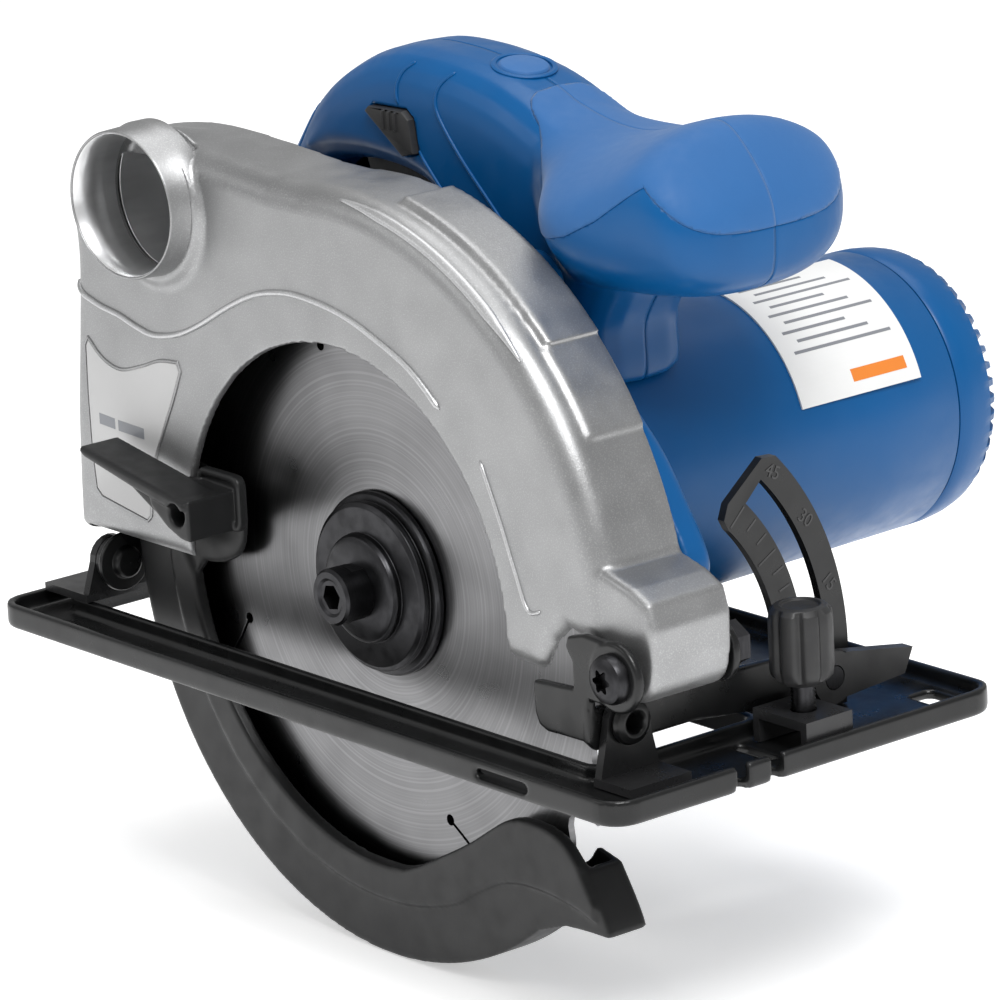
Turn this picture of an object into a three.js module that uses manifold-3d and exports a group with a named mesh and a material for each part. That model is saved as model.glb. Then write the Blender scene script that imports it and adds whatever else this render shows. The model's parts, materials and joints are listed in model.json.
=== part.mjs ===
// Hand-held circular saw with a 190 mm blade, a tilting and plunging head on a pressed steel shoe.
// Frame: millimetres, +X is the cutting direction, +Y runs from the blade to the motor, +Z is up.
// The origin lies on the sole of the shoe, straight across from the blade's axis.
import * as THREE from "three";
import { mergeVertices } from "three/addons/utils/BufferGeometryUtils.js";
import Module from "manifold-3d";

const wasm = await Module();
wasm.setup();

// ---------- driving dimensions ----------
const GAP = 0.3; // clearance between pieces that touch
const FAR = 200; // reach of a cutting tool that runs right through

const BLADE = { x: 0, z: 31, y: -65, radius: 95, thickness: 2, bore: 15, teeth: 24 };
const MOTOR = { x: 21.7, z: 55.2, front: -29.7, rear: 84, end: 104, radius: 40, rearRadius: 38.3, wall: 2.6 };
const SHOE = { back: -132.5, front: 127.5, right: -98.5, left: 31.5, sheet: 2.5, rim: 7, rimWall: 2 };
const SLOT = { back: -120.5, front: 100, right: -80.5, left: -28.5 };
const GUARD = { near: -80, far: -53, outer: 107.85, inner: 104.5, faceWall: 2.5, backWall: 2, window: 66.2 };
const LOWER = { near: -71.8, far: -59, outer: 100.8, inner: 75, rimWall: 2.3, sheet: 2, hubInner: 16.8, hubOuter: 22 };
const LOWER_TOE = [[73.8, -43.9], [82.8, -43.7], [90.7, -43.3], [87.9, -35.5], [82.8, -27.4]];
const NOSE = { radius: 16.5, bore: 11.3, tip: -60.9 };
const GEAR = { module: 1.25, wheelTeeth: 38, pinionTeeth: 14, front: -46.5, back: -37.5 };
const GEARBOX = { front: -52.7, back: -30, wheelRadius: 27.5, pinionRadius: 20, wall: 2.2, floor: -36 };
const BEVEL = { y: -74, z: 18 }; // tilt axis, along X
const YOKE = { back: 99.8, front: 102.3 }; // the tilting frame's cross web and clamp arm
const EAR = { front: 102.6, rear: -112, sheet: 2.5, radius: 6.5, halfFoot: 10 };
const DEPTH = { x: 112.5, z: 33, bolt: 3, lug: 8 }; // plunge axis, along Y
const QUADRANT = { x: 97, sheet: 2.5, inner: 56, outer: 79, slotInner: 64.3, slotOuter: 71.7, top: 46 };
const CLAMP = { radius: 68, angle: -4 }; // tilt clamp's place about the tilt axis
const BAR = { front: -51.9, back: -49.4, inner: 157, outer: 173, slotInner: 161.4, slotOuter: 168.6 };
const DEPTH_CLAMP = { x: -52.4, z: 37 };
const HANDLE = { seam: -18.5, half: 17, wall: 2.8 };
const FENCE = { x: 115.5, y: -25.2 };
const PORT = { x: -72.5, z: 126, outer: 20.5, bore: 19, tip: -89.5 }; // dust port, along Y
const LOCK = { x: -14, y: -42 }; // spindle lock, along Z

// ---------- colours ----------
const PAINT = {
  castAluminium: { color: 0xb9bbbd, roughness: 0.45, metalness: 0.85 },
  brushedSteel: { color: 0x9a9ca0, roughness: 0.3, metalness: 1 },
  darkSteel: { color: 0x2a2b2d, roughness: 0.4, metalness: 0.8 },
  blackPaint: { color: 0x141516, roughness: 0.35, metalness: 0.2 },
  darkGuard: { color: 0x2b2d2f, roughness: 0.5, metalness: 0.3 },
  blackPlastic: { color: 0x1a1a1b, roughness: 0.55, metalness: 0 },
  bluePlastic: { color: 0x0d4f9e, roughness: 0.4, metalness: 0 },
  blueRubber: { color: 0x2a4f9c, roughness: 0.7, metalness: 0 },
  paper: { color: 0xe8e8e6, roughness: 0.5, metalness: 0 },
  zincSteel: { color: 0x8e9092, roughness: 0.35, metalness: 1 },
  copper: { color: 0xb0673c, roughness: 0.4, metalness: 1 },
  laminations: { color: 0x55575a, roughness: 0.5, metalness: 0.9 },
};

// ---------- solids from three.js geometry ----------
function solid(geometry) {
  const bare = geometry.index ? geometry.toNonIndexed() : geometry.clone();
  bare.deleteAttribute("normal");
  bare.deleteAttribute("uv");
  const merged = mergeVertices(bare, 1e-4);
  return new wasm.Manifold(
    new wasm.Mesh({
      numProp: 3,
      vertProperties: new Float32Array(merged.attributes.position.array),
      triVerts: new Uint32Array(merged.index.array),
    }),
  );
}

function outline(points) {
  return new THREE.Shape(points.map(([a, b]) => new THREE.Vector2(a, b)));
}

// A plate in the XZ plane, from y0 to y1.
function plateXZ(points, y0, y1) {
  const shape = points instanceof THREE.Shape ? points : outline(points);
  const geometry = new THREE.ExtrudeGeometry(shape, { depth: y1 - y0, bevelEnabled: false });
  geometry.rotateX(Math.PI / 2);
  geometry.translate(0, y1, 0);
  return solid(geometry);
}

// A plate in the XY plane, from z0 to z1.
function plateXY(points, z0, z1) {
  const geometry = new THREE.ExtrudeGeometry(outline(points), { depth: z1 - z0, bevelEnabled: false });
  geometry.translate(0, 0, z0);
  return solid(geometry);
}

// A plate in the YZ plane, from x0 to x1.
function plateYZ(points, x0, x1) {
  const geometry = new THREE.ExtrudeGeometry(outline(points), { depth: x1 - x0, bevelEnabled: false });
  geometry.rotateX(Math.PI / 2);
  geometry.rotateZ(Math.PI / 2);
  geometry.translate(x0, 0, 0);
  return solid(geometry);
}

function box(x0, x1, y0, y1, z0, z1) {
  const geometry = new THREE.BoxGeometry(x1 - x0, y1 - y0, z1 - z0);
  geometry.translate((x0 + x1) / 2, (y0 + y1) / 2, (z0 + z1) / 2);
  return solid(geometry);
}

function cylinderY(x, z, radius, y0, y1, sides = 24) {
  const geometry = new THREE.CylinderGeometry(radius, radius, y1 - y0, sides);
  geometry.translate(x, (y0 + y1) / 2, z);
  return solid(geometry);
}

function cylinderX(y, z, radius, x0, x1, sides = 16) {
  const geometry = new THREE.CylinderGeometry(radius, radius, x1 - x0, sides);
  geometry.rotateZ(-Math.PI / 2);
  geometry.translate((x0 + x1) / 2, y, z);
  return solid(geometry);
}

function cylinderZ(x, y, radius, z0, z1, sides = 16) {
  const geometry = new THREE.CylinderGeometry(radius, radius, z1 - z0, sides);
  geometry.rotateX(Math.PI / 2);
  geometry.translate(x, y, (z0 + z1) / 2);
  return solid(geometry);
}

function ringY(x, z, inner, outer, y0, y1, sides = 24) {
  const tool = cylinderY(x, z, inner, y0 - 1, y1 + 1, sides);
  return cylinderY(x, z, outer, y0, y1, sides).subtract(tool);
}

// A body of revolution about a line along Y through (x, z); profile points are [radius, y].
function turnedY(x, z, profile, sides = 28) {
  const points = profile.map(([r, y]) => new THREE.Vector2(r, y));
  const geometry = new THREE.LatheGeometry(points, sides);
  geometry.translate(x, 0, z);
  return solid(geometry);
}

const RAD = Math.PI / 180;

function arc(cx, cz, radius, fromDeg, toDeg, steps) {
  return Array.from({ length: steps + 1 }, (_, i) => {
    const a = (fromDeg + ((toDeg - fromDeg) * i) / steps) * RAD;
    return [cx + radius * Math.cos(a), cz + radius * Math.sin(a)];
  });
}

// A closed band between two radii.
function band(cx, cz, inner, outer, fromDeg, toDeg, steps) {
  return [...arc(cx, cz, outer, fromDeg, toDeg, steps), ...arc(cx, cz, inner, toDeg, fromDeg, steps)];
}

// ---------- the scene graph ----------
const saw = new THREE.Group();
saw.name = "circular_saw";

function add(name, paint, body) {
  const mesh = body.getMesh();
  const geometry = new THREE.BufferGeometry();
  geometry.setAttribute("position", new THREE.BufferAttribute(new Float32Array(mesh.vertProperties), 3));
  geometry.setIndex(new THREE.BufferAttribute(new Uint32Array(mesh.triVerts), 1));
  geometry.computeVertexNormals();
  const node = new THREE.Mesh(geometry, new THREE.MeshStandardMaterial(PAINT[paint]));
  node.name = name;
  saw.add(node);
}

// ---------- shoe ----------
function roundedRect(x0, x1, y0, y1, radius, steps = 4) {
  return [
    ...arc(x1 - radius, y1 - radius, radius, 0, 90, steps),
    ...arc(x0 + radius, y1 - radius, radius, 90, 180, steps),
    ...arc(x0 + radius, y0 + radius, radius, 180, 270, steps),
    ...arc(x1 - radius, y0 + radius, radius, 270, 360, steps),
  ];
}

function shoePlate() {
  const { back, front, right, left, sheet, rim, rimWall } = SHOE;
  const tray = plateXY(roundedRect(back, front, right, left, 8), 0, rim);
  const pan = plateXY(
    roundedRect(back + rimWall, front - rimWall, right + rimWall, left - rimWall, 6),
    sheet,
    rim + 1,
  );
  const slotRim = plateXY(
    roundedRect(SLOT.back - rimWall, SLOT.front + rimWall, SLOT.right - rimWall, SLOT.left + rimWall, 5),
    sheet - 1,
    rim,
  );
  const slot = plateXY(roundedRect(SLOT.back, SLOT.front, SLOT.right, SLOT.left, 3), -1, rim + 1);
  let plate = tray.subtract(pan).add(slotRim).subtract(slot);
  // sight notches in the front rim, for square and 45 degree cuts
  for (const [y0, y1] of [[-58.5, -54.5], [-47.1, -42.9]]) {
    plate = plate.subtract(box(front - 5, front + 1, y0, y1, -1, rim + 1));
  }
  // open slots beside the fence channel
  for (const [x0, x1, y0, y1] of [[104, 119, -40, -36], [107, 121, 18, 26], [60, 66, -18, 14]]) {
    plate = plate.subtract(plateXY(roundedRect(x0, x1, y0, y1, 1.9), -1, rim + 1));
  }
  return plate;
}

// The bridge that the fence arm slides under, with a threaded hole for its clamp screw.
function fenceBridge() {
  const outer = box(105, 125, -33, -17.4, SHOE.sheet + GAP, 11.5);
  const channel = box(107.2, 122.8, -40, -10, SHOE.sheet - 1, 9);
  return outer.subtract(channel).subtract(cylinderZ(FENCE.x, FENCE.y, 3.4, 5, 14));
}

function fenceKnobScrew() {
  const shank = cylinderZ(FENCE.x, FENCE.y, 3, 8.8, 22);
  const collar = cylinderZ(FENCE.x, FENCE.y, 5, 18, 21);
  const grip = cylinderZ(FENCE.x, FENCE.y, 8.3, 20, 39, 8);
  return shank.add(collar).add(grip);
}

// Upright ears on the shoe that carry the tilt axis.
function ear(x0, footX0, footX1, footZ) {
  const { sheet, radius, halfFoot } = EAR;
  const x1 = x0 + sheet;
  const upright = plateYZ(
    [
      [BEVEL.y - halfFoot, footZ],
      [BEVEL.y + halfFoot, footZ],
      ...arc(BEVEL.y, BEVEL.z, radius, 0, 180, 10),
    ],
    x0,
    x1,
  );
  const foot = box(footX0, footX1, BEVEL.y - halfFoot, BEVEL.y + halfFoot, footZ, footZ + 2.2);
  return upright.add(foot).subtract(cylinderX(BEVEL.y, BEVEL.z, 3.3, x0 - 2, x1 + 2));
}

function quadrant() {
  const { x, sheet, inner, outer, slotInner, slotOuter, top } = QUADRANT;
  const floor = SHOE.sheet + GAP;
  const arch = plateYZ(band(BEVEL.y, BEVEL.z, inner, outer, -16, top, 16), x, x + sheet);
  const slot = plateYZ(band(BEVEL.y, BEVEL.z, slotInner, slotOuter, -7.5, 44, 14), x - 1, x + sheet + 1);
  const foot = box(x - 10, x + sheet, -19.5, 4, floor, floor + 2.2);
  const below = box(x - 1, x + sheet + 1, -40, 20, -20, floor);
  return arch.subtract(slot).subtract(below).add(foot);
}

// ---------- tilting frame ----------
const clampY = BEVEL.y + CLAMP.radius * Math.cos(CLAMP.angle * RAD);
const clampZ = BEVEL.z + CLAMP.radius * Math.sin(CLAMP.angle * RAD);

function yokeSide(y0, y1) {
  return plateXZ(
    [
      [81, 27],
      [81, 17],
      [84.5, 13.8],
      [YOKE.front, 13.8],
      [YOKE.front, 25.4],
      ...arc(DEPTH.x, DEPTH.z, 7.6, -90, 130, 10),
      [97, 27],
    ],
    y0,
    y1,
  );
}

function frontYoke() {
  const near = yokeSide(-84.3, -81.8);
  const far = yokeSide(-52, -49.5);
  const web = plateYZ(
    [[-84.3, 13.6], [-82.2, 11.5], [-49.5, 11.5], [-49.5, 22.5], [-84.3, 22.5]],
    YOKE.back,
    YOKE.front,
  );
  const arm = plateYZ(
    [[-50, 11.5], [-24, 8.5], ...arc(clampY, clampZ, 7, -80, 90, 8), [-50, 22.5]],
    YOKE.back,
    YOKE.front,
  );
  return near
    .add(far)
    .add(web)
    .add(arm)
    .subtract(cylinderX(BEVEL.y, BEVEL.z, 3.3, 90, 120))
    .subtract(cylinderX(clampY, clampZ, 3.3, 90, 120))
    .subtract(cylinderY(DEPTH.x, DEPTH.z, DEPTH.bolt + GAP, -90, -40));
}

// The strap that runs from the rear tilt pivot across to the depth bar.
function rearBracket() {
  const strap = box(-109.1, -106.6, BEVEL.y, -52.2, 10, 23.2).add(
    cylinderX(BEVEL.y, BEVEL.z, 6.5, -109.1, -106.6),
  );
  const corner = box(-109.1, -104, -52.5, -49.4, 10, 23.2);
  const runner = box(-105, -60, -51.9, -49.4, 10, 23.2);
  return strap.add(corner).add(runner).subtract(cylinderX(BEVEL.y, BEVEL.z, 3.3, -115, -100));
}

// The slotted bar, curved about the plunge axis, that the head is clamped to.
function depthBar() {
  const { front, back, inner, outer, slotInner, slotOuter } = BAR;
  const arch = plateXZ(band(DEPTH.x, DEPTH.z, inner, outer, 186.5, 145, 24), front, back);
  const slot = plateXZ(band(DEPTH.x, DEPTH.z, slotInner, slotOuter, 180.4, 146.8, 20), front - 1, back + 1);
  return arch.subtract(slot).subtract(box(-110, -59.7, front - 1, back + 1, 0, 26));
}

function pivotPin(x0, x1, headX0, headX1, headRadius) {
  return cylinderX(BEVEL.y, BEVEL.z, 3, x0, x1).add(cylinderX(BEVEL.y, BEVEL.z, headRadius, headX0, headX1));
}

function hexY(x, z, across, y0, y1) {
  return cylinderY(x, z, across / 2, y0, y1, 6);
}

// ---------- saw head: guard and gearbox ----------
function guardOutline() {
  return [
    [-118.8, 25.5],
    [-66, 25.5],
    [66, 25.5],
    [80.5, 24.3],
    [88.5, 37.7],
    [102, 33],
    ...arc(DEPTH.x, DEPTH.z, DEPTH.lug, 215, 360, 10),
    [121.3, 45],
    [119, 50],
    [110.5, 54],
    ...arc(BLADE.x, BLADE.z, GUARD.outer, 12, 96, 26),
    [-36.3, 141],
    [-62.2, 140],
    [-88.7, 138.3],
    [-105, 135.2],
    [-111.5, 130],
    [-113.5, 122],
    [-112, 105],
    [-114.8, 80],
    [-117.8, 60],
  ];
}

function guardCavity() {
  return plateXZ(
    [
      [-115.8, -60],
      [60, -60],
      ...arc(BLADE.x, BLADE.z, GUARD.inner, -20, 96, 30),
      [-37, 137.6],
      [-62.2, 136.8],
      [-88, 135],
      [-103, 132],
      [-108.5, 128],
      [-110.3, 121],
      [-108.8, 105],
      [-111.6, 80],
      [-114.6, 60],
    ],
    GUARD.near + GUARD.faceWall,
    GUARD.far - GUARD.backWall,
  );
}



function upperGuard() {
  const casting = plateXZ(guardOutline(), GUARD.near, GUARD.far)
    .add(cylinderY(BLADE.x, BLADE.z, GEARBOX.wheelRadius, GUARD.far - GUARD.backWall, GUARD.far, 40))
    .subtract(guardCavity())
    .subtract(cylinderY(BLADE.x, BLADE.z, GUARD.window, GUARD.near - 1, GUARD.near + GUARD.faceWall + 1, 56));
  const nose = cylinderY(BLADE.x, BLADE.z, NOSE.radius, NOSE.tip, GUARD.far, 36);
  const port = cylinderY(PORT.x, PORT.z, PORT.outer, PORT.tip, GUARD.near + GUARD.faceWall, 36);
  const portCut = cylinderY(PORT.x, PORT.z, PORT.bore, PORT.tip - 1, GUARD.near + GUARD.faceWall + 1, 36);

  return casting
    .add(port)
    .subtract(portCut)

    .add(nose)
    .subtract(cylinderY(BLADE.x, BLADE.z, NOSE.bore, -70, -40, 32))
    .subtract(cylinderY(DEPTH.x, DEPTH.z, DEPTH.bolt + GAP, -90, -40, 24))
    .subtract(cylinderY(DEPTH_CLAMP.x, DEPTH_CLAMP.z, 3.3, -60, -40, 20));
}

// Outline of the gearbox round both shafts, pulled in by an inset.
function gearboxOutline(inset) {
  const dx = MOTOR.x - BLADE.x;
  const dz = MOTOR.z - BLADE.z;
  const big = GEARBOX.wheelRadius - inset;
  const small = GEARBOX.pinionRadius - inset;
  const along = Math.atan2(dz, dx) / RAD;
  const lean = Math.acos((big - small) / Math.hypot(dx, dz)) / RAD;
  return [
    ...arc(BLADE.x, BLADE.z, big, along + lean, along + 360 - lean, 24),
    ...arc(MOTOR.x, MOTOR.z, small, along - lean, along + lean, 14),
  ];
}

function gearCase() {
  const { front, back, wall, floor } = GEARBOX;
  const shell = plateXZ(gearboxOutline(0), front, back);
  const lobe = plateXZ(
    [[30, 27], [80, 36], [94, 43], [103, 48], [102, 58], [92, 74], [70, 86], [40, 84], [36, 60]],
    front,
    -45,
  );
  const lobeCore = plateXZ([[52, 40], [79, 43], [91, 48], [96, 57], [87, 71], [66, 81], [48, 79]], front - 1, -47.2);
  const cavity = plateXZ(gearboxOutline(wall), front - 1, floor);
  const bearingSeat = cylinderY(MOTOR.x, MOTOR.z, 11.3, floor - 1, back + 1);
  const spindleSeat = cylinderY(BLADE.x, BLADE.z, 8.3, floor - 1, floor + 3.5);
  const lockHole = cylinderZ(LOCK.x, LOCK.y, 3.3, 45, 60);
  return shell
    .add(lobe)
    .subtract(lobeCore)
    .subtract(cavity)
    .subtract(bearingSeat)
    .subtract(spindleSeat)
    .subtract(lockHole);
}


function spindleLockButton() {
  return cylinderZ(LOCK.x, LOCK.y, 3, 56.2, 65).add(cylinderZ(LOCK.x, LOCK.y, 6, 62, 67));
}

// Involute spur gear about a line along Y.
function gear(x, z, teeth, y0, y1, bore, turnDeg) {
  const pitch = (GEAR.module * teeth) / 2;
  const base = pitch * Math.cos(20 * RAD);
  const tip = pitch + 0.85 * GEAR.module;
  const root = pitch - 1.15 * GEAR.module;
  const halfAt = (r) => {
    const involute = (radius) => {
      const a = Math.acos(Math.min(1, base / radius));
      return Math.tan(a) - a;
    };
    const backlash = 0.12 / pitch;
    return Math.PI / (2 * teeth) - backlash + involute(pitch) - involute(Math.max(r, base));
  };
  const points = [];
  for (let tooth = 0; tooth < teeth; tooth++) {
    const middle = turnDeg * RAD + (tooth * 2 * Math.PI) / teeth;
    const radii = [root, pitch, tip];
    for (const r of radii) points.push([r, middle - halfAt(r)]);
    for (const r of [...radii].reverse()) points.push([r, middle + halfAt(r)]);
  }
  const ring = points.map(([r, a]) => [x + r * Math.cos(a), z + r * Math.sin(a)]);
  const blank = plateXZ(ring, y0, y1);
  return bore > 0 ? blank.subtract(cylinderY(x, z, bore, y0 - 1, y1 + 1)) : blank;
}

// ---------- lower guard ----------
function lowerGuard() {
  const { near, far, outer, rimWall, sheet, hubInner, hubOuter } = LOWER;
  const start = 166;
  const end = 312;
  const c = [BLADE.x, BLADE.z];
  const nearFlange = plateXZ(
    [
      ...arc(...c, outer, start, end, 30),
      ...LOWER_TOE,
      [76.5, -21.2],
      [67.6, -19],
      [60.7, -19],
      [53.7, -20.6],
      [46.5, -24.4],
      [39.1, -29.2],
      [29.2, -34.7],
      ...arc(...c, LOWER.inner, 280, 186, 12),
      [-62, 24],
      [-43, 31],
      [-40, 40],
      [-41, 54],
      [-62, 54],
    ],
    near,
    near + sheet,
  );
  const rim = plateXZ(band(...c, outer - rimWall, outer, start, end, 32), near, far);
  const farFlange = plateXZ(
    [...arc(...c, outer, start, end, 30), [60, -12], [22, 20], ...arc(...c, hubOuter, -10, 130, 8), [-30, 50]],
    far - sheet,
    far,
  ).add(cylinderY(...c, hubOuter, far - sheet, far));
  const hook = plateXZ(
    [
      [64, -46],
      ...LOWER_TOE,
      ...arc(...c, outer - rimWall, -36, -48, 4),
    ],
    near,
    far,
  );
  return nearFlange
    .add(rim)
    .add(farFlange)
    .add(hook)
    .subtract(cylinderY(...c, hubInner, -80, -40));
}

function guardLever() {
  const base = plateXZ([[-61.5, 36], [-44.5, 36], [-44.5, 54], [-60, 54]], -80.6, -72.1).intersect(
    cylinderY(BLADE.x, BLADE.z, 65.2, -85, -70, 56),
  );
  const block = plateXZ([[-61, 40], [-46, 40], [-46, 50], [-61, 50]], -94, -80.4);
  const wing = plateXZ([[-92, 56.5], [-55, 50.2], [-55, 46.5], [-66, 46.5], [-92, 53.6]], -95.5, -82.5);
  return base.add(block).add(wing);
}

// ---------- motor ----------
function motorHousing() {
  const { x, z, front, rear, radius, rearRadius, wall } = MOTOR;
  return turnedY(x, z, [
    [radius, front],
    [radius, front + 20],
    [rearRadius, rear],
    [rearRadius - wall, rear],
    [radius - wall, front + 20],
    [radius - wall, front],
    [radius, front],
  ]);
}

function endCap() {
  const { x, z, rear, end, rearRadius, wall } = MOTOR;
  let cap = turnedY(x, z, [
    [rearRadius, rear + GAP],
    [rearRadius - 0.6, rear + 8],
    [rearRadius - 4, rear + 15],
    [rearRadius - 12, end - 1],
    [0, end],
    [0, end - wall],
    [9.3, end - wall],
    [9.3, rear + GAP],
    [12, rear + GAP],
    [12, end - wall - 1],
    [rearRadius - 14, end - wall - 1],
    [rearRadius - 6, rear + 12],
    [rearRadius - wall, rear + 7],
    [rearRadius - wall, rear + GAP],
    [rearRadius, rear + GAP],
  ]);
  // cooling slots round the shoulder
  for (let i = 0; i < 12; i++) {
    const slot = box(-1.6, 1.6, rear + 4, rear + 12, 20, 60);
    cap = cap.subtract(slot.rotate([0, 30 * i, 0]).translate([x, 0, z]));
  }
  return cap;
}

function statorCore() {
  const tube = ringY(MOTOR.x, MOTOR.z, 20, 35.2, -5.5, 42, 32);
  const flats = box(-60, 60, -10, 60, 25.5, 60);
  return tube
    .subtract(flats.translate([MOTOR.x, 0, MOTOR.z]))
    .subtract(flats.rotate([0, 180, 0]).translate([MOTOR.x, 0, MOTOR.z]));
}

function motorShaft() {
  const shaft = cylinderY(MOTOR.x, MOTOR.z, 4.6, -47, 90, 24);
  const toBlade = Math.atan2(BLADE.z - MOTOR.z, BLADE.x - MOTOR.x) / RAD;
  return shaft.add(
    gear(MOTOR.x, MOTOR.z, GEAR.pinionTeeth, GEAR.front, GEAR.back, 0, toBlade + 180 / GEAR.pinionTeeth),
  );
}

function coolingFan() {
  const { x, z } = MOTOR;
  let fan = ringY(x, z, 4.9, 12, -24, -14.4).add(ringY(x, z, 10, 33, -16.4, -14.4, 36));
  for (let i = 0; i < 9; i++) {
    fan = fan.add(box(11, 32.5, -24, -15.5, -0.8, 0.8).rotate([0, 40 * i, 0]).translate([x, 0, z]));
  }
  return fan;
}

// ---------- blade and spindle ----------
function sawBlade() {
  const { x, z, y, radius, thickness, bore, teeth } = BLADE;
  const gullet = radius - 9;
  const step = (2 * Math.PI) / teeth;
  const points = [];
  // upper teeth point forwards and down, as the blade cuts upwards at its front
  const tooth = [[radius, 0], [radius - 0.8, 0.2], [radius - 4.5, 0.38], [gullet + 1.5, 0.58], [gullet, 0.76], [gullet + 1.8, 0.92]];
  for (let i = 0; i < teeth; i++) {
    for (const [r, share] of tooth) {
      const a = (i + share) * step;
      points.push([x + r * Math.cos(a), z + r * Math.sin(a)]);
    }
  }
  return plateXZ(points, y - thickness / 2, y + thickness / 2).subtract(cylinderY(x, z, bore, y - 5, y + 5));
}

// ---------- handle ----------
function gripOutline() {
  return [
    [-81.5, 128.6],
    [-96, 108],
    [-101, 90],
    [-97, 73],
    [-84, 62],
    [-50, 55],
    [-19, 50],
    [-14, 74],
    [2, 92.5],
    [21.7, 96],
    [52, 84],
    [53.5, 100],
    [60, 112],
    [72, 140],
    [66, 152.5],
    [54.1, 151.7],
    [34.9, 155.5],
    [19.1, 161.2],
    [9.5, 162.6],
    [-17.6, 164],
    [-40.8, 161.1],
    [-64.3, 150.1],
  ];
}

function fingerHole() {
  return [
    [-62, 126],
    [-76, 110],
    [-81, 94],
    [-76, 82],
    [-50, 76],
    [-28, 78],
    [-14, 96],
    [-9, 112],
    [-12, 124],
    [-24, 129],
    [-45, 130],
  ];
}

function shrink(points, distance) {
  const n = points.length;
  const area = points.reduce((sum, [ax, az], i) => {
    const [bx, bz] = points[(i + 1) % n];
    return sum + ax * bz - bx * az;
  }, 0);
  const side = Math.sign(area) * distance;
  return points.map(([px, pz], i) => {
    const [ax, az] = points[(i + n - 1) % n];
    const [bx, bz] = points[(i + 1) % n];
    const length = Math.hypot(bx - ax, bz - az);
    return [px - ((bz - az) / length) * side, pz + ((bx - ax) / length) * side];
  });
}

// Front knob: half of its plan, on one side of the seam.
function knobPlan(side, inset) {
  const seam = HANDLE.seam + side * 0.15;
  const edge = [[40, 15], [50, 24], [58, 33], [68, 31], [88, 20], [101, 10]];
  const flank = edge.map(([x, halfWidth]) => [x, seam + side * (halfWidth - inset)]);
  return [[40, seam], ...flank, [104 - inset, seam]];
}

function handleShell(side) {
  const { seam, half, wall } = HANDLE;
  const edge = seam + side * 0.15;
  const flank = seam + side * half;
  const y0 = Math.min(edge, flank);
  const y1 = Math.max(edge, flank);
  const inner0 = side > 0 ? y0 - 1 : y0 + wall;
  const inner1 = side > 0 ? y1 - wall : y1 + 1;
  const hole = fingerHole();
  let shell = plateXZ(gripOutline(), y0, y1).add(plateXY(knobPlan(side, 0), 116, 149));
  const hollow = plateXZ(shrink(gripOutline(), wall), inner0, inner1)
    .add(plateXY(knobPlan(side, wall), 118.8, 146.2).add(box(70, 95, Math.min(edge, edge - side), Math.max(edge, edge - side), 118.8, 146.2)))
    .subtract(plateXZ(shrink(hole, -wall), -FAR, FAR));
  shell = shell
    .subtract(hollow)
    .subtract(plateXZ(hole, -FAR, FAR))
    .subtract(cylinderY(MOTOR.x, MOTOR.z, MOTOR.radius + GAP, -60, 60, 64))
    .subtract(plateXZ(gearboxOutline(-GAP), -60, GEARBOX.back + GAP))
    .subtract(box(-54, -12, -26.5, -10.5, 118, 140))
    .subtract(cylinderZ(9.3, seam, 8.3, 159.5, 170))
    .subtract(cylinderX(seam, 80, 7.3, -110, -90));
  if (side < 0) shell = shell.subtract(box(-34.6, -14.2, -40, -28, 136.6, 149.1));
  return shell;
}

function trigger() {
  return plateXZ([[-50, 136], [-50, 126], [-45, 117], [-38, 115.5], [-24, 121], [-15, 128], [-14, 136]], -25.5, -11.5);
}

function switchBody() {
  return box(-46, -14, -24.5, -12.5, 142, 155);
}

function lockOffButton() {
  return plateXZ([[-34, 148.5], [-16.5, 148.5], [-14.8, 137.2], [-21, 137.2]], -37.5, -31).add(
    box(-28, -20, -31.5, -29.5, 141, 147),
  );
}

function frontGripPad(side) {
  const grip = plateXZ(shrink(gripOutline(), -GAP), -FAR, FAR);
  return plateXY(knobPlan(side, 1), 149 + GAP, 157).subtract(grip);
}

function rearGripPad(side) {
  const y = HANDLE.seam + side * (HANDLE.half + GAP);
  const shape = [[-82, 124], [-94, 106], [-98, 90], [-88, 92], [-82, 108], [-66, 128], [-60, 147], [-68, 143]];
  return plateXZ(shape, Math.min(y, y + side * 2), Math.max(y, y + side * 2));
}

// ---------- assembly ----------
add("shoe_plate", "blackPaint", shoePlate());
add("bevel_quadrant", "blackPaint", quadrant());
add("front_pivot_ear", "blackPaint", ear(EAR.front, EAR.front, EAR.front + 14, SHOE.sheet + GAP));
add("rear_pivot_ear", "blackPaint", ear(EAR.rear, -129, EAR.rear + EAR.sheet, SHOE.rim + GAP));
add("fence_bridge", "blackPaint", fenceBridge());
add("fence_knob_screw", "blackPlastic", fenceKnobScrew());

add("front_yoke", "blackPaint", frontYoke());
add("rear_bracket", "blackPaint", rearBracket());
add("depth_bar", "blackPaint", depthBar());
add("front_bevel_rivet", "zincSteel", pivotPin(98, 107, 105.4, 108.4, 5.5));
add("rear_bevel_rivet", "darkSteel", pivotPin(-114, -102, -106.3, -102, 6));
add(
  "depth_pivot_bolt",
  "zincSteel",
  cylinderY(DEPTH.x, DEPTH.z, DEPTH.bolt, -85, -43).add(cylinderY(DEPTH.x, DEPTH.z, 6, -88.5, -84.6)),
);
add("depth_pivot_nut", "zincSteel", hexY(DEPTH.x, DEPTH.z, 12, -49.2, -44).subtract(cylinderY(DEPTH.x, DEPTH.z, 3.3, -60, -40)));
add(
  "bevel_clamp_bolt",
  "zincSteel",
  cylinderX(clampY, clampZ, 3, 93.5, 106.5).add(cylinderX(clampY, clampZ, 5.5, 93.5, 96.6, 6)),
);
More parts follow.
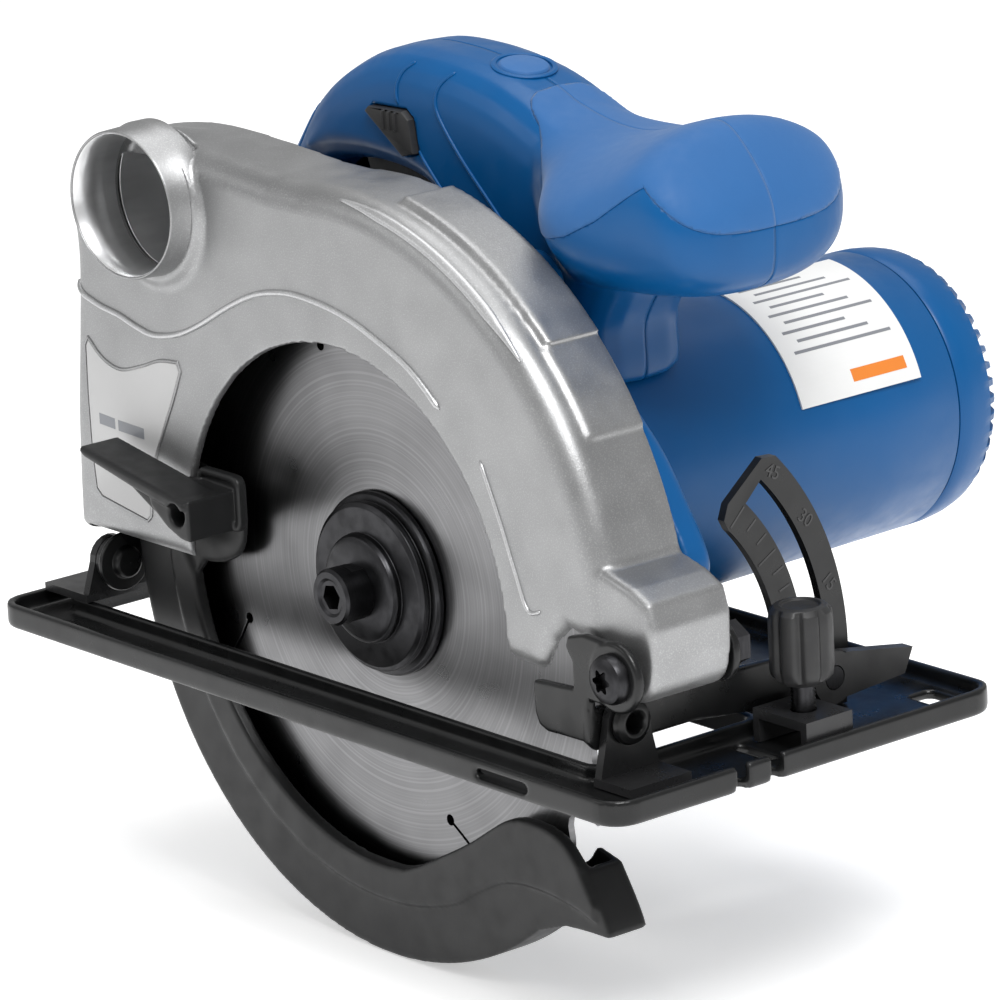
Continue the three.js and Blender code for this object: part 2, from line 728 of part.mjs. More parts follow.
add(
  "bevel_lever",
  "blackPlastic",
  cylinderX(clampY, clampZ, 7, 102.7, 106.6)
    .add(
      plateYZ(
        [[clampY + 2, clampZ - 6], [clampY + 24, clampZ - 4.5], [clampY + 27, clampZ + 2], [clampY + 4, clampZ + 6]],
        102.7,
        106.6,
      ),
    )
    .subtract(cylinderX(clampY, clampZ, 3.3, 90, 130)),
);

add("upper_guard", "castAluminium", upperGuard());
add("gear_case", "bluePlastic", gearCase());
add("motor_housing", "bluePlastic", motorHousing());
add("motor_end_cap", "bluePlastic", endCap());
add("handle_right_shell", "bluePlastic", handleShell(-1));
add("handle_left_shell", "bluePlastic", handleShell(1));
add("front_grip_pad_right", "blueRubber", frontGripPad(-1));
add("front_grip_pad_left", "blueRubber", frontGripPad(1));
add("rear_grip_pad_right", "blueRubber", rearGripPad(-1));
add("rear_grip_pad_left", "blueRubber", rearGripPad(1));
add("handle_cap", "bluePlastic", cylinderZ(9.3, HANDLE.seam, 8, 159.8, 164.2, 28));
add("switch_body", "blackPlastic", switchBody());
add("cord_inlet", "blackPlastic", cylinderX(HANDLE.seam, 80, 7, -106, -91).subtract(cylinderX(HANDLE.seam, 80, 3.5, -110, -80)));
add("stator_core", "laminations", statorCore());
add("field_coil_front", "copper", ringY(MOTOR.x, MOTOR.z, 21, 32, -13.5, -5.9));
add("field_coil_rear", "copper", ringY(MOTOR.x, MOTOR.z, 21, 32, 42.4, 49));
for (const [name, side] of [["brush_holder_front", 1], ["brush_holder_rear", -1]]) {
  const near = MOTOR.x + side * 12.6;
  const far = MOTOR.x + side * 33;
  add(name, "copper", box(Math.min(near, far), Math.max(near, far), 54, 62, MOTOR.z - 4, MOTOR.z + 4));
}
add("front_bearing", "zincSteel", ringY(MOTOR.x, MOTOR.z, 4.9, 11, -35.7, -29.9));
add("rear_bearing", "zincSteel", ringY(MOTOR.x, MOTOR.z, 4.9, 9, 84.6, 90.5));
add("spindle_bearing", "zincSteel", ringY(BLADE.x, BLADE.z, 6.3, 11, -60, -53.2));
add(
  "guard_retaining_ring",
  "zincSteel",
  ringY(BLADE.x, BLADE.z, 12, 19.5, -61.6, -61.2),
);
add("guard_return_spring", "zincSteel", ringY(BLADE.x, BLADE.z, 18, 22, -58.6, -55.4));
add(
  "guard_label",
  "paper",
  plateXZ([[-105.2, 80.1], [-65.5, 81.4], [-73.5, 64.9], [-70, 40], [-83, 29], [-110.6, 32.9], [-106.7, 50.5]], -80.7, -80.3),
);
add(
  "rating_label",
  "paper",
  plateXZ(band(MOTOR.x, MOTOR.z, 40.2, 40.6, 18, 85, 14), 29, 70.5),
);
add("depth_clamp_bolt", "zincSteel", cylinderY(DEPTH_CLAMP.x, DEPTH_CLAMP.z, 3, -54.6, -40));
add(
  "depth_lever",
  "blackPlastic",
  cylinderY(DEPTH_CLAMP.x, DEPTH_CLAMP.z, 8, -49.1, -41)
    .add(plateXZ([[-50, 44], [-88, 54], [-90, 49], [-56, 31]], -46, -41))
    .subtract(cylinderY(DEPTH_CLAMP.x, DEPTH_CLAMP.z, 3.3, -60, -30)),
);

add("saw_blade", "brushedSteel", sawBlade());
add(
  "spindle_shaft",
  "zincSteel",
  cylinderY(BLADE.x, BLADE.z, 6, -66, -33).subtract(cylinderY(BLADE.x, BLADE.z, 4.3, -70, -48)),
);
add(
  "inner_flange",
  "darkSteel",
  turnedY(BLADE.x, BLADE.z, [
    [6.3, -65.7],
    [14.7, -65.7],
    [14.7, -63.7],
    [20, -63.7],
    [20, -62],
    [8, -62],
    [8, -60.3],
    [6.3, -60.3],
    [6.3, -65.7],
  ]),
);
add(
  "outer_flange",
  "darkSteel",
  turnedY(BLADE.x, BLADE.z, [
    [4.3, -75],
    [14, -75],
    [14, -71],
    [22, -71],
    [24, -69],
    [24, -66.3],
    [4.3, -66.3],
    [4.3, -75],
  ]),
);
add(
  "blade_bolt",
  "darkSteel",
  cylinderY(BLADE.x, BLADE.z, 4, -76, -50, 24)
    .add(cylinderY(BLADE.x, BLADE.z, 7.5, -83, -75.3, 28))
    .subtract(hexY(BLADE.x, BLADE.z, 8.5, -84, -78)),
);
add("spindle_gear", "zincSteel", gear(BLADE.x, BLADE.z, GEAR.wheelTeeth, GEAR.front, GEAR.back, 6.3, Math.atan2(MOTOR.z - BLADE.z, MOTOR.x - BLADE.x) / RAD));

add("motor_shaft", "zincSteel", motorShaft());
add("armature_core", "laminations", ringY(MOTOR.x, MOTOR.z, 4.9, 19, -4, 40, 28));
add("commutator", "copper", ringY(MOTOR.x, MOTOR.z, 4.9, 12, 52, 64));
add("cooling_fan", "blackPlastic", coolingFan());

add("lower_guard", "darkGuard", lowerGuard());
add("guard_lever", "darkGuard", guardLever());
add("trigger", "blackPlastic", trigger());
add("lock_off_button", "blackPlastic", lockOffButton());
add("spindle_lock_button", "blackPlastic", spindleLockButton());

export default saw;
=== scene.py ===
"""Looks for the hand-held circular saw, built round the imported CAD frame."""
import json
import math

import bmesh
import bpy
from mathutils import Matrix, Vector
from mathutils.bvhtree import BVHTree


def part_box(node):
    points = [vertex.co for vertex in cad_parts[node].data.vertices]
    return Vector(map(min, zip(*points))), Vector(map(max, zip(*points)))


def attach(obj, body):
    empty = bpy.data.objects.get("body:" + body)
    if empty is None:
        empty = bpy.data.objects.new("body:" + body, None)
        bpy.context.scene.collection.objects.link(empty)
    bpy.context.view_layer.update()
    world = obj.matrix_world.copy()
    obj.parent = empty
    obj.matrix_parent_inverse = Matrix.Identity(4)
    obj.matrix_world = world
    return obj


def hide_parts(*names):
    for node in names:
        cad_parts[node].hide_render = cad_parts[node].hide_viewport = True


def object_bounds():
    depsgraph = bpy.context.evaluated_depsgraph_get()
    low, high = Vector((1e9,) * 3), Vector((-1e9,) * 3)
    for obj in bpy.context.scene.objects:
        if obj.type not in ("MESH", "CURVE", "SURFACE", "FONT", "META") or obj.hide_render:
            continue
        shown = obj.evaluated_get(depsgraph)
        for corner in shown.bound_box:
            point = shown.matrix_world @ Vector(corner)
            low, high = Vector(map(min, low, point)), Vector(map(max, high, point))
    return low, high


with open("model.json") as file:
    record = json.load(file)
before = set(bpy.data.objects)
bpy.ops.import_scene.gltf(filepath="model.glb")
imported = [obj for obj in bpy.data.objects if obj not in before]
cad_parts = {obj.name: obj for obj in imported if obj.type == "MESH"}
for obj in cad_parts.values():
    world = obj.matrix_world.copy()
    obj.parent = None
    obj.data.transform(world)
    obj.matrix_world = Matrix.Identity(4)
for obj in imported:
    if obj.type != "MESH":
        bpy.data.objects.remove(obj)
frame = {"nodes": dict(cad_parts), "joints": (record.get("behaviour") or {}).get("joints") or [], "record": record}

CAD_LOW, CAD_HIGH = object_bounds()
JOINTS = {joint["name"]: joint for joint in frame["joints"]}
MM = 0.001
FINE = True


def joint_mm(name):
    return [value / MM for value in JOINTS[name]["pos_m"]]


def box_mm(node):
    low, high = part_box(node)
    return [v / MM for v in low], [v / MM for v in high]


# ---------- places taken from the frame (millimetres) ----------
BLADE_X, BLADE_Y, BLADE_Z = joint_mm("blade_spin")
MOTOR_X, _, MOTOR_Z = joint_mm("armature_spin")
DEPTH_X, _, DEPTH_Z = joint_mm("depth_swing")
_, TILT_Y, TILT_Z = joint_mm("bevel_tilt")
SEAM_Y = (box_mm("handle_right_shell")[1][1] + box_mm("handle_left_shell")[0][1]) / 2
GUARD_NEAR = box_mm("guard_label")[1][1] + 0.3
GUARD_FAR = box_mm("gear_case")[0][1] - 0.3
SHOE_LOW, SHOE_HIGH = box_mm("shoe_plate")
LOWER_LOW, LOWER_HIGH = box_mm("lower_guard")
HOUSING_LOW, HOUSING_HIGH = box_mm("motor_housing")
CAP_LOW, CAP_HIGH = box_mm("motor_end_cap")

GUARD_R = 107.0
GUARD_INNER_R = 104.0
WINDOW_R = 66.2
LOWER_R = 100.8


# ---------- mesh helpers ----------
def arc(cx, cz, radius, start, end, steps):
    made = []
    for i in range(steps + 1):
        a = math.radians(start + (end - start) * i / steps)
        made.append((cx + radius * math.cos(a), cz + radius * math.sin(a)))
    return made


def blade_arc(radius, start, end, steps):
    return arc(BLADE_X, BLADE_Z, radius, start, end, steps)


def spline(points, steps=6):
    """Closed Catmull-Rom curve through the points."""
    made = []
    n = len(points)
    for i in range(n):
        p0, p1, p2, p3 = (Vector(points[(i + k - 1) % n]) for k in range(4))
        for s in range(steps):
            t = s / steps
            q = 0.5 * (2 * p1 + (p2 - p0) * t + (2 * p0 - 5 * p1 + 4 * p2 - p3) * t * t
                       + (3 * p1 - p0 - 3 * p2 + p3) * t * t * t)
            made.append(tuple(q))
    return made


def open_spline(points, steps=8):
    """Open Catmull-Rom curve through the points."""
    ends = [points[0]] + list(points) + [points[-1]]
    made = []
    for i in range(len(points) - 1):
        p0, p1, p2, p3 = (Vector(ends[i + k]) for k in range(4))
        for s in range(steps):
            t = s / steps
            made.append(tuple(0.5 * (2 * p1 + (p2 - p0) * t + (2 * p0 - 5 * p1 + 4 * p2 - p3) * t * t
                                     + (3 * p1 - p0 - 3 * p2 + p3) * t * t * t)))
    made.append(tuple(points[-1]))
    return made


def edge_distance(point, ring):
    """Shortest distance from a point to the sides of a closed outline."""
    best = math.inf
    px, pz = point
    for i, (bx, bz) in enumerate(ring):
        ax, az = ring[i - 1]
        dx, dz = bx - ax, bz - az
        span = dx * dx + dz * dz
        t = max(0.0, min(1.0, ((px - ax) * dx + (pz - az) * dz) / span)) if span else 0.0
        best = min(best, (px - ax - t * dx) ** 2 + (pz - az - t * dz) ** 2)
    return math.sqrt(best)


def grow(points, distance):
    """Offsets a closed outline; points that would fold over join a sound neighbour."""
    n = len(points)
    area = sum(points[i][0] * points[(i + 1) % n][1] - points[(i + 1) % n][0] * points[i][1] for i in range(n))
    side = distance if area > 0 else -distance
    moved = []
    for i in range(n):
        here = Vector(points[i])
        before = (here - Vector(points[i - 1])).normalized()
        after = (Vector(points[(i + 1) % n]) - here).normalized()
        normal = Vector((before.y + after.y, -before.x - after.x))
        normal.normalize()
        reach = side / max(0.5, normal.dot(Vector((before.y, -before.x))))
        moved.append((here.x + normal.x * reach, here.y + normal.y * reach))
    sound = [edge_distance(p, points) > abs(distance) * 0.9 for p in moved]
    if not any(sound):
        return moved
    made = []
    for i in range(n):
        step = 0
        while not (sound[(i + step) % n] or sound[i - step]):
            step += 1
        made.append(moved[(i + step) % n] if sound[(i + step) % n] else moved[i - step])
    return made


def place(plane, a, b, c):
    if plane == "xz":
        return (a, c, b)
    if plane == "yz":
        return (c, a, b)
    return (a, b, c)


def new_object(name, verts, faces):
    mesh = bpy.data.meshes.new(name)
    mesh.from_pydata([(x * MM, y * MM, z * MM) for x, y, z in verts], [], faces)
    obj = bpy.data.objects.new(name, mesh)
    bpy.context.scene.collection.objects.link(obj)
    weld(obj)
    return obj


def loft(name, rings):
    """A closed skin through rings of equal length, capped at both ends."""
    n = len(rings[0])
    verts = [p for ring in rings for p in ring]
    faces = []
    for k in range(len(rings) - 1):
        for i in range(n):
            j = (i + 1) % n
            faces.append([k * n + i, k * n + j, (k + 1) * n + j, (k + 1) * n + i])
    faces.append(list(range(n))[::-1])
    faces.append([(len(rings) - 1) * n + i for i in range(n)])
    return new_object(name, verts, faces)


def prism(name, ring, plane, low, high, round_low=0.0, round_high=0.0, steps=4):
    """A plate between two levels, its end edges rounded by insetting."""
    levels = []
    for k in range(steps + 1):
        if round_low:
            a = math.pi / 2 * k / steps
            levels.append((low + round_low * (1 - math.sin(a)), -round_low * (1 - math.cos(a))))
    levels.reverse()
    levels = levels or [(low, 0.0)]
    if round_high:
        for k in range(steps + 1):
            a = math.pi / 2 * k / steps
            levels.append((high - round_high * (1 - math.sin(a)), -round_high * (1 - math.cos(a))))
    else:
        levels.append((high, 0.0))
    rings = []
    for level, inset in levels:
        moved = grow(ring, inset) if inset else ring
        rings.append([place(plane, a, b, level) for a, b in moved])
    return loft(name, rings)


def turn(name, axis, centre, profile, segments=96, radius_at=None):
    """A body of revolution; profile is a closed list of (radius, level)."""
    verts = []
    faces = []
    n = len(profile)
    for s in range(segments):
        a = 2 * math.pi * s / segments
        for k, (r, level) in enumerate(profile):
            if radius_at:
                r = radius_at(k, r, level, s)
            u, v = r * math.cos(a), r * math.sin(a)
            if axis == "y":
                verts.append((centre[0] + u, level, centre[1] + v))
            elif axis == "x":
                verts.append((level, centre[0] + u, centre[1] + v))
            else:
                verts.append((centre[0] + u, centre[1] + v, level))
    for s in range(segments):
        t = (s + 1) % segments
        for k in range(n):
            m = (k + 1) % n
            faces.append([s * n + k, s * n + m, t * n + m, t * n + k])
    return new_object(name, verts, faces)


def weld(obj, distance=1e-6):
    bm = bmesh.new()
    bm.from_mesh(obj.data)
    bmesh.ops.remove_doubles(bm, verts=bm.verts, dist=distance)
    bmesh.ops.dissolve_degenerate(bm, edges=bm.edges, dist=distance)
    bmesh.ops.recalc_face_normals(bm, faces=bm.faces)
    if bm.calc_volume(signed=True) < 0:
        bmesh.ops.reverse_faces(bm, faces=bm.faces)
    bm.to_mesh(obj.data)
    bm.free()


def bake(obj):
    depsgraph = bpy.context.evaluated_depsgraph_get()
    made = bpy.data.meshes.new_from_object(obj.evaluated_get(depsgraph))
    obj.modifiers.clear()
    obj.data = made
    return obj


def combine(target, others, operation, solver="EXACT"):
    for other in others:
        tool = target.modifiers.new("boolean", "BOOLEAN")
        tool.operation = operation
        tool.solver = solver
        tool.object = other
        bake(target)
        bpy.data.objects.remove(other)
    return target


def join(name, parts):
    verts = []
    faces = []
    for part in parts:
        start = len(verts)
        verts.extend(tuple(part.matrix_world @ v.co / MM) for v in part.data.vertices)
        faces.extend([start + i for i in face.vertices] for face in part.data.polygons)
        bpy.data.objects.remove(part)
    return new_object(name, verts, faces)


def remesh(obj, voxel, smoothing):
    tool = obj.modifiers.new("remesh", "REMESH")
    tool.mode = "VOXEL"
    tool.voxel_size = voxel * MM * (1.0 if FINE else 1.6)
    soft = obj.modifiers.new("smooth", "SMOOTH")
    soft.factor = 0.5
    soft.iterations = smoothing
    bake(obj)
    smooth_shade(obj)
    return obj


def smooth_shade(obj):
    obj.data.polygons.foreach_set("use_smooth", [True] * len(obj.data.polygons))
    obj.data.update()


def crisp(obj, width=0.5, segments=2, angle=35):
    """Rounds the hard edges of a machined or moulded piece."""
    tool = obj.modifiers.new("bevel", "BEVEL")
    tool.width = width * MM
    tool.segments = segments
    tool.limit_method = "ANGLE"
    tool.angle_limit = math.radians(angle)
    tool.harden_normals = True
    smooth_shade(obj)
    return obj


def band(inner, outer, start, end, steps):
    return blade_arc(outer, start, end, steps) + blade_arc(inner, end, start, steps)


def bead(name, path, radius, sides=8):
    """A thin round bead along a path of 3-D points, with pinched ends."""
    rings = []
    count = len(path)
    for i, point in enumerate(path):
        here = Vector(point)
        ahead = (Vector(path[min(i + 1, count - 1)]) - Vector(path[max(i - 1, 0)])).normalized()
        side = ahead.cross(Vector((0, 1, 0)))
        if side.length < 0.1:
            side = ahead.cross(Vector((0, 0, 1)))
        side.normalize()
        up = side.cross(ahead)
        size = radius * (0.15 if i in (0, count - 1) else 1.0)
        rings.append([
            tuple(here + size * (math.cos(2 * math.pi * k / sides) * side
                                 + math.sin(2 * math.pi * k / sides) * up))
            for k in range(sides)
        ])
    return loft(name, rings)


# ---------- materials ----------
class Look:
    """A node material under construction."""

    def __init__(self, name, color, metallic=0.0, roughness=0.5):
        self.material = bpy.data.materials.new(name)
        self.material.use_nodes = True
        self.tree = self.material.node_tree
        self.shader = self.tree.nodes["Principled BSDF"]
        self.color = color
        self.shader.inputs["Base Color"].default_value = (*color, 1)
        self.shader.inputs["Metallic"].default_value = metallic
        self.shader.inputs["Roughness"].default_value = roughness
        self.coords = self.tree.nodes.new("ShaderNodeTexCoord")
        self.height = None

    def noise(self, scale, detail=3.0, stretch=None):
        node = self.tree.nodes.new("ShaderNodeTexNoise")
        node.inputs["Scale"].default_value = scale
        node.inputs["Detail"].default_value = detail
        source = self.coords.outputs["Object"]
        if stretch:
            mapping = self.tree.nodes.new("ShaderNodeMapping")
            mapping.inputs["Scale"].default_value = stretch
            self.tree.links.new(source, mapping.inputs["Vector"])
            source = mapping.outputs["Vector"]
        self.tree.links.new(source, node.inputs["Vector"])
        return node.outputs["Fac"]

    def ramp(self, source, low, high, from_low=0.3, from_high=0.7):
        node = self.tree.nodes.new("ShaderNodeMapRange")
        node.inputs["From Min"].default_value = from_low
        node.inputs["From Max"].default_value = from_high
        node.inputs["To Min"].default_value = low
        node.inputs["To Max"].default_value = high
        self.tree.links.new(source, node.inputs["Value"])
        return node.outputs["Result"]

    def tint(self, source, other, from_low=0.35, from_high=0.7, amount=1.0):
        factor = self.ramp(source, 0.0, amount, from_low, from_high)
        mix = self.tree.nodes.new("ShaderNodeMix")
        mix.data_type = "RGBA"
        self.tree.links.new(factor, mix.inputs["Factor"])
        previous = self.shader.inputs["Base Color"]
        if previous.is_linked:
            self.tree.links.new(previous.links[0].from_socket, mix.inputs["A"])
        else:
            mix.inputs["A"].default_value = (*self.color, 1)
        mix.inputs["B"].default_value = (*other, 1)
        self.tree.links.new(mix.outputs["Result"], previous)
        return self

    def rough(self, source, low, high):
        self.tree.links.new(self.ramp(source, low, high), self.shader.inputs["Roughness"])
        return self

    def bump(self, source, strength, distance):
        node = self.tree.nodes.new("ShaderNodeBump")
        node.inputs["Strength"].default_value = strength
        node.inputs["Distance"].default_value = distance * MM
        self.tree.links.new(source, node.inputs["Height"])
        if self.height:
            self.tree.links.new(self.height, node.inputs["Normal"])
        self.height = node.outputs["Normal"]
        self.tree.links.new(self.height, self.shader.inputs["Normal"])
        return self

    def edges(self, other, low=0.52, high=0.6, amount=0.7):
        node = self.tree.nodes.new("ShaderNodeNewGeometry")
        return self.tint(node.outputs["Pointiness"], other, low, high, amount)


def cast_aluminium(name="cast_aluminium", level=1.0):
    # level scales every colour; a level above 1 gives the lighter copy used as painted highlight.
    look = Look(name, (0.33 * level, 0.332 * level, 0.335 * level), 0.85, 0.42)
    grain = look.noise(2600, 4)
    look.tint(look.noise(38, 4), (0.31 * level, 0.312 * level, 0.315 * level), 0.4, 0.7, 0.7)
    look.tint(grain, (0.58 * level, 0.585 * level, 0.59 * level), 0.52, 0.74, 0.5)
    look.rough(look.noise(90, 3), 0.34, 0.48)
    look.bump(grain, 0.45, 0.08)
    look.bump(look.noise(420, 2), 0.18, 0.15)
    return look.material


def machined_aluminium():
    look = Look("machined_aluminium", (0.78, 0.785, 0.79), 0.9, 0.3)
    streak = look.noise(120, 3, (1, 0.2, 1))
    look.tint(streak, (0.5, 0.5, 0.51), 0.45, 0.65, 0.5)
    look.rough(streak, 0.26, 0.4)
    look.bump(streak, 0.1, 0.03)
    return look.material


def painted_black():
    look = Look("black_paint", (0.004, 0.0042, 0.0044), 0.0, 0.3)
    look.shader.inputs["Specular IOR Level"].default_value = 0.35
    look.tint(look.noise(60, 4), (0.008, 0.0085, 0.009), 0.4, 0.7, 0.8)
    look.rough(look.noise(130, 3), 0.24, 0.42)
    look.bump(look.noise(380, 2), 0.12, 0.12)
    look.edges((0.04, 0.04, 0.042), 0.53, 0.62, 0.5)
    look.shader.inputs["Coat Weight"].default_value = 0.12
    look.shader.inputs["Coat Roughness"].default_value = 0.2
    return look.material


def dark_guard():
    look = Look("dark_guard", (0.010, 0.0102, 0.0106), 0.0, 0.36)
    look.shader.inputs["Specular IOR Level"].default_value = 0.35
    look.tint(look.noise(45, 4), (0.015, 0.0153, 0.0158), 0.4, 0.7, 0.8)
    look.rough(look.noise(150, 3), 0.34, 0.5)
    look.bump(look.noise(900, 3), 0.16, 0.06)
    return look.material


def black_plastic(name="black_plastic", level=0.016):
    look = Look(name, (level, level, level * 1.05), 0.0, 0.5)
    look.tint(look.noise(120, 3), (level * 2, level * 2, level * 2), 0.4, 0.75, 0.6)
    look.rough(look.noise(200, 3), 0.42, 0.6)
    look.bump(look.noise(1300, 2), 0.2, 0.05)
    return look.material


def steel(name, color, low, high, streaks):
    look = Look(name, color, 1.0, low)
    source = look.noise(300, 4, streaks)
    look.tint(source, tuple(c * 0.7 for c in color), 0.4, 0.7, 0.7)
    look.rough(source, low, high)
    look.bump(source, 0.12, 0.04)
    return look.material


def blade_steel():
    # The low base colour is partly the steel's own tone and partly painted reflection, standing in for a dark surround
    # the blade mirrors.
    look = Look("blade_steel", (0.21, 0.21, 0.215), 1.0, 0.3)
    radius = look.tree.nodes.new("ShaderNodeVectorMath")
    radius.operation = "LENGTH"
    look.tree.links.new(look.coords.outputs["Object"], radius.inputs[0])
    rings = look.tree.nodes.new("ShaderNodeTexNoise")
    rings.noise_dimensions = "1D"
    rings.inputs["Scale"].default_value = 1300
    rings.inputs["Detail"].default_value = 2
    look.tree.links.new(radius.outputs["Value"], rings.inputs["W"])
    look.tint(look.noise(30, 2), (0.17, 0.17, 0.175), 0.4, 0.7, 0.6)
    look.tint(rings.outputs["Fac"], (0.3, 0.3, 0.305), 0.45, 0.7, 0.5)
    look.rough(look.noise(60, 2), 0.26, 0.36)
    look.bump(rings.outputs["Fac"], 0.08, 0.02)
    tangent = look.tree.nodes.new("ShaderNodeTangent")
    tangent.direction_type = "RADIAL"
    tangent.axis = "Y"
    look.tree.links.new(tangent.outputs["Tangent"], look.shader.inputs["Tangent"])
    look.shader.inputs["Anisotropic"].default_value = 0.75
    return look.material


def blue_plastic():
    look = Look("blue_plastic", (0.0005, 0.084, 0.26), 0.0, 0.34)
    look.shader.inputs["Specular IOR Level"].default_value = 0.3
    look.tint(look.noise(25, 4), (0.0005, 0.068, 0.22), 0.4, 0.7, 0.7)
    look.rough(look.noise(160, 3), 0.28, 0.42)
    look.bump(look.noise(1100, 2), 0.10, 0.05)
    return look.material


def blue_rubber():
    look = Look("blue_rubber", (0.018, 0.11, 0.31), 0.0, 0.6)
    look.shader.inputs["Specular IOR Level"].default_value = 0.3
    look.tint(look.noise(30, 4), (0.022, 0.125, 0.345), 0.4, 0.7, 0.7)
    look.rough(look.noise(260, 3), 0.52, 0.68)
    look.bump(look.noise(1500, 2), 0.25, 0.05)
    look.shader.inputs["Sheen Weight"].default_value = 0.15
    return look.material


def label_film(name, color):
    look = Look(name, color, 0.0, 0.35)
    look.tint(look.noise(40, 3), tuple(c * 0.93 for c in color), 0.4, 0.7, 0.8)
    look.rough(look.noise(200, 2), 0.28, 0.4)
    look.bump(look.noise(700, 2), 0.05, 0.03)
    return look.material


def winding(name, color):
    look = Look(name, color, 0.9, 0.35)
    look.tint(look.noise(500, 2, (1, 8, 1)), tuple(c * 0.5 for c in color), 0.4, 0.6, 0.8)
    look.bump(look.noise(900, 2, (1, 8, 1)), 0.4, 0.2)
    return look.material


MAT = {
    "cast_aluminium": cast_aluminium(),
    "machined": machined_aluminium(),
    "black_paint": painted_black(),
    "dark_guard": dark_guard(),
    "black_plastic": black_plastic(),
    "black_rubber": black_plastic("black_rubber", 0.01),
    "zinc_steel": steel("zinc_steel", (0.46, 0.46, 0.47), 0.25, 0.42, (1, 1, 1)),
    "dark_steel": steel("dark_steel", (0.045, 0.045, 0.048), 0.28, 0.45, (1, 6, 1)),
    "bearing_steel": steel("bearing_steel", (0.6, 0.6, 0.61), 0.15, 0.3, (1, 6, 1)),
    "carbide": steel("carbide", (0.3, 0.3, 0.31), 0.3, 0.45, (1, 1, 1)),
    "laminations": steel("laminations", (0.2, 0.2, 0.205), 0.4, 0.55, (1, 40, 1)),
    "blade_steel": blade_steel(),
    "blue_plastic": blue_plastic(),
    "blue_rubber": blue_rubber(),
    "label": label_film("label", (0.78, 0.78, 0.77)),
    "grey_label": label_film("grey_label", (0.52, 0.52, 0.52)),
    # Lighter copy of the cast aluminium: painted highlight for the guard's face ridges and edge strip.
    "cast_painted_highlight": cast_aluminium("cast_painted_highlight", 1.6),
    "label_print": label_film("label_print", (0.22, 0.23, 0.25)),
    "label_accent": label_film("label_accent", (0.75, 0.22, 0.03)),
    # Lighter grey for the quadrant's raised figures and ticks: painted highlight, since the real marks are the same
    # black as the plate.
    "mark_painted_highlight": label_film("mark_painted_highlight", (0.035, 0.035, 0.036)),
    "copper": winding("copper", (0.7, 0.30, 0.14)),
    "brass": steel("brass", (0.72, 0.55, 0.25), 0.3, 0.45, (1, 1, 1)),
}


def paint(obj, look):
    obj.data.materials.clear()
    obj.data.materials.append(MAT[look])


def piece(obj, body, slot, look=None, replaces=()):
    paint(obj, look or slot)
    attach(obj, body)
    if replaces:
        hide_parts(*replaces)
    return obj


# ---------- camera, floor and light ----------
def camera():
    eye = Vector((1243.43, -1028.24, 499.49)) * MM
    right = Vector((0.6375, 0.7689, -0.0492))
    ahead = Vector((-0.7489, 0.6034, -0.2740))
    up = right.cross(ahead).normalized()
    right = ahead.cross(up).normalized()
    data = bpy.data.cameras.new("camera")
    data.lens = 227.3
    data.sensor_width = 36
    data.clip_end = 20
    obj = bpy.data.objects.new("camera", data)
    bpy.context.scene.collection.objects.link(obj)
    basis = Matrix((right, up, -ahead.normalized())).transposed()
    obj.matrix_world = Matrix.Translation(eye) @ basis.to_4x4()
    bpy.context.scene.camera = obj


def area_light(name, place_at, target, size, power, color=(1, 1, 1)):
    data = bpy.data.lights.new(name, "AREA")
    data.shape = "RECTANGLE"
    data.size, data.size_y = size
    data.energy = power
    data.color = color
    obj = bpy.data.objects.new(name, data)
    obj.location = place_at
    direction = Vector(target) - Vector(place_at)
    obj.rotation_euler = direction.to_track_quat("-Z", "Y").to_euler()
    bpy.context.scene.collection.objects.link(obj)


def studio():
    size = 6.0
    level = CAD_LOW[2] / MM - 0.2
    floor = new_object("studio_floor", [
        (-size / MM, -size / MM, level), (size / MM, -size / MM, level),
        (size / MM, size / MM, level), (-size / MM, size / MM, level)], [[0, 1, 2, 3]])
    look = Look("studio_floor", (0.93, 0.93, 0.93), 0.0, 0.7)
    look.shader.inputs["Emission Color"].default_value = (1, 1, 1, 1)
    look.shader.inputs["Emission Strength"].default_value = 0.45
    floor.data.materials.append(look.material)
    world = bpy.data.worlds.new("studio")
    world.use_nodes = True
    world.node_tree.nodes["Background"].inputs["Color"].default_value = (1, 1, 1, 1)
    world.node_tree.nodes["Background"].inputs["Strength"].default_value = 0.44
    bpy.context.scene.world = world
    target = (0, 0, 0.05)
    area_light("key", (0.9, -0.45, 1.35), target, (0.7, 0.7), 20)
    area_light("fill", (-0.7, -1.3, 0.8), target, (0.8, 0.6), 2.5)
    area_light("top", (-0.2, 0.3, 1.5), target, (1.0, 1.0), 8)
    bpy.context.scene.view_settings.view_transform = "Standard"


# ---------- upper guard ----------
def guard_outline():
    return (
        [(-118.8, 27.5), (-117.5, 25.5), (-90, 25.5), (-68, 25.5), (-40, 25.5), (0, 25.5), (40, 25.5), (66, 25.5), (78, 24.6),
         (82, 27), (86, 34), (90, 37.5), (96, 37.0), (103, 36)]
        + blade_arc(GUARD_R, 4, 96, 46)
        + open_spline([(-24, 137.6), (-45, 139.4), (-70, 140.6), (-88.7, 139.0), (-104, 135.4), (-111.5, 130),
                       (-113.8, 122), (-112.6, 110), (-112.5, 100), (-114.8, 80), (-117.3, 60), (-118.6, 40)], 4)
    )


def guard_cavity():
    return (
        [(-115.6, -60), (60, -60)]
        + blade_arc(GUARD_INNER_R, -20, 96, 50)
        + [(-37, 134.6), (-62.2, 135.2), (-88, 134), (-101, 131), (-107.5, 127), (-110, 121), (-109.3, 100),
           (-111.6, 80), (-114.6, 60)]
    )


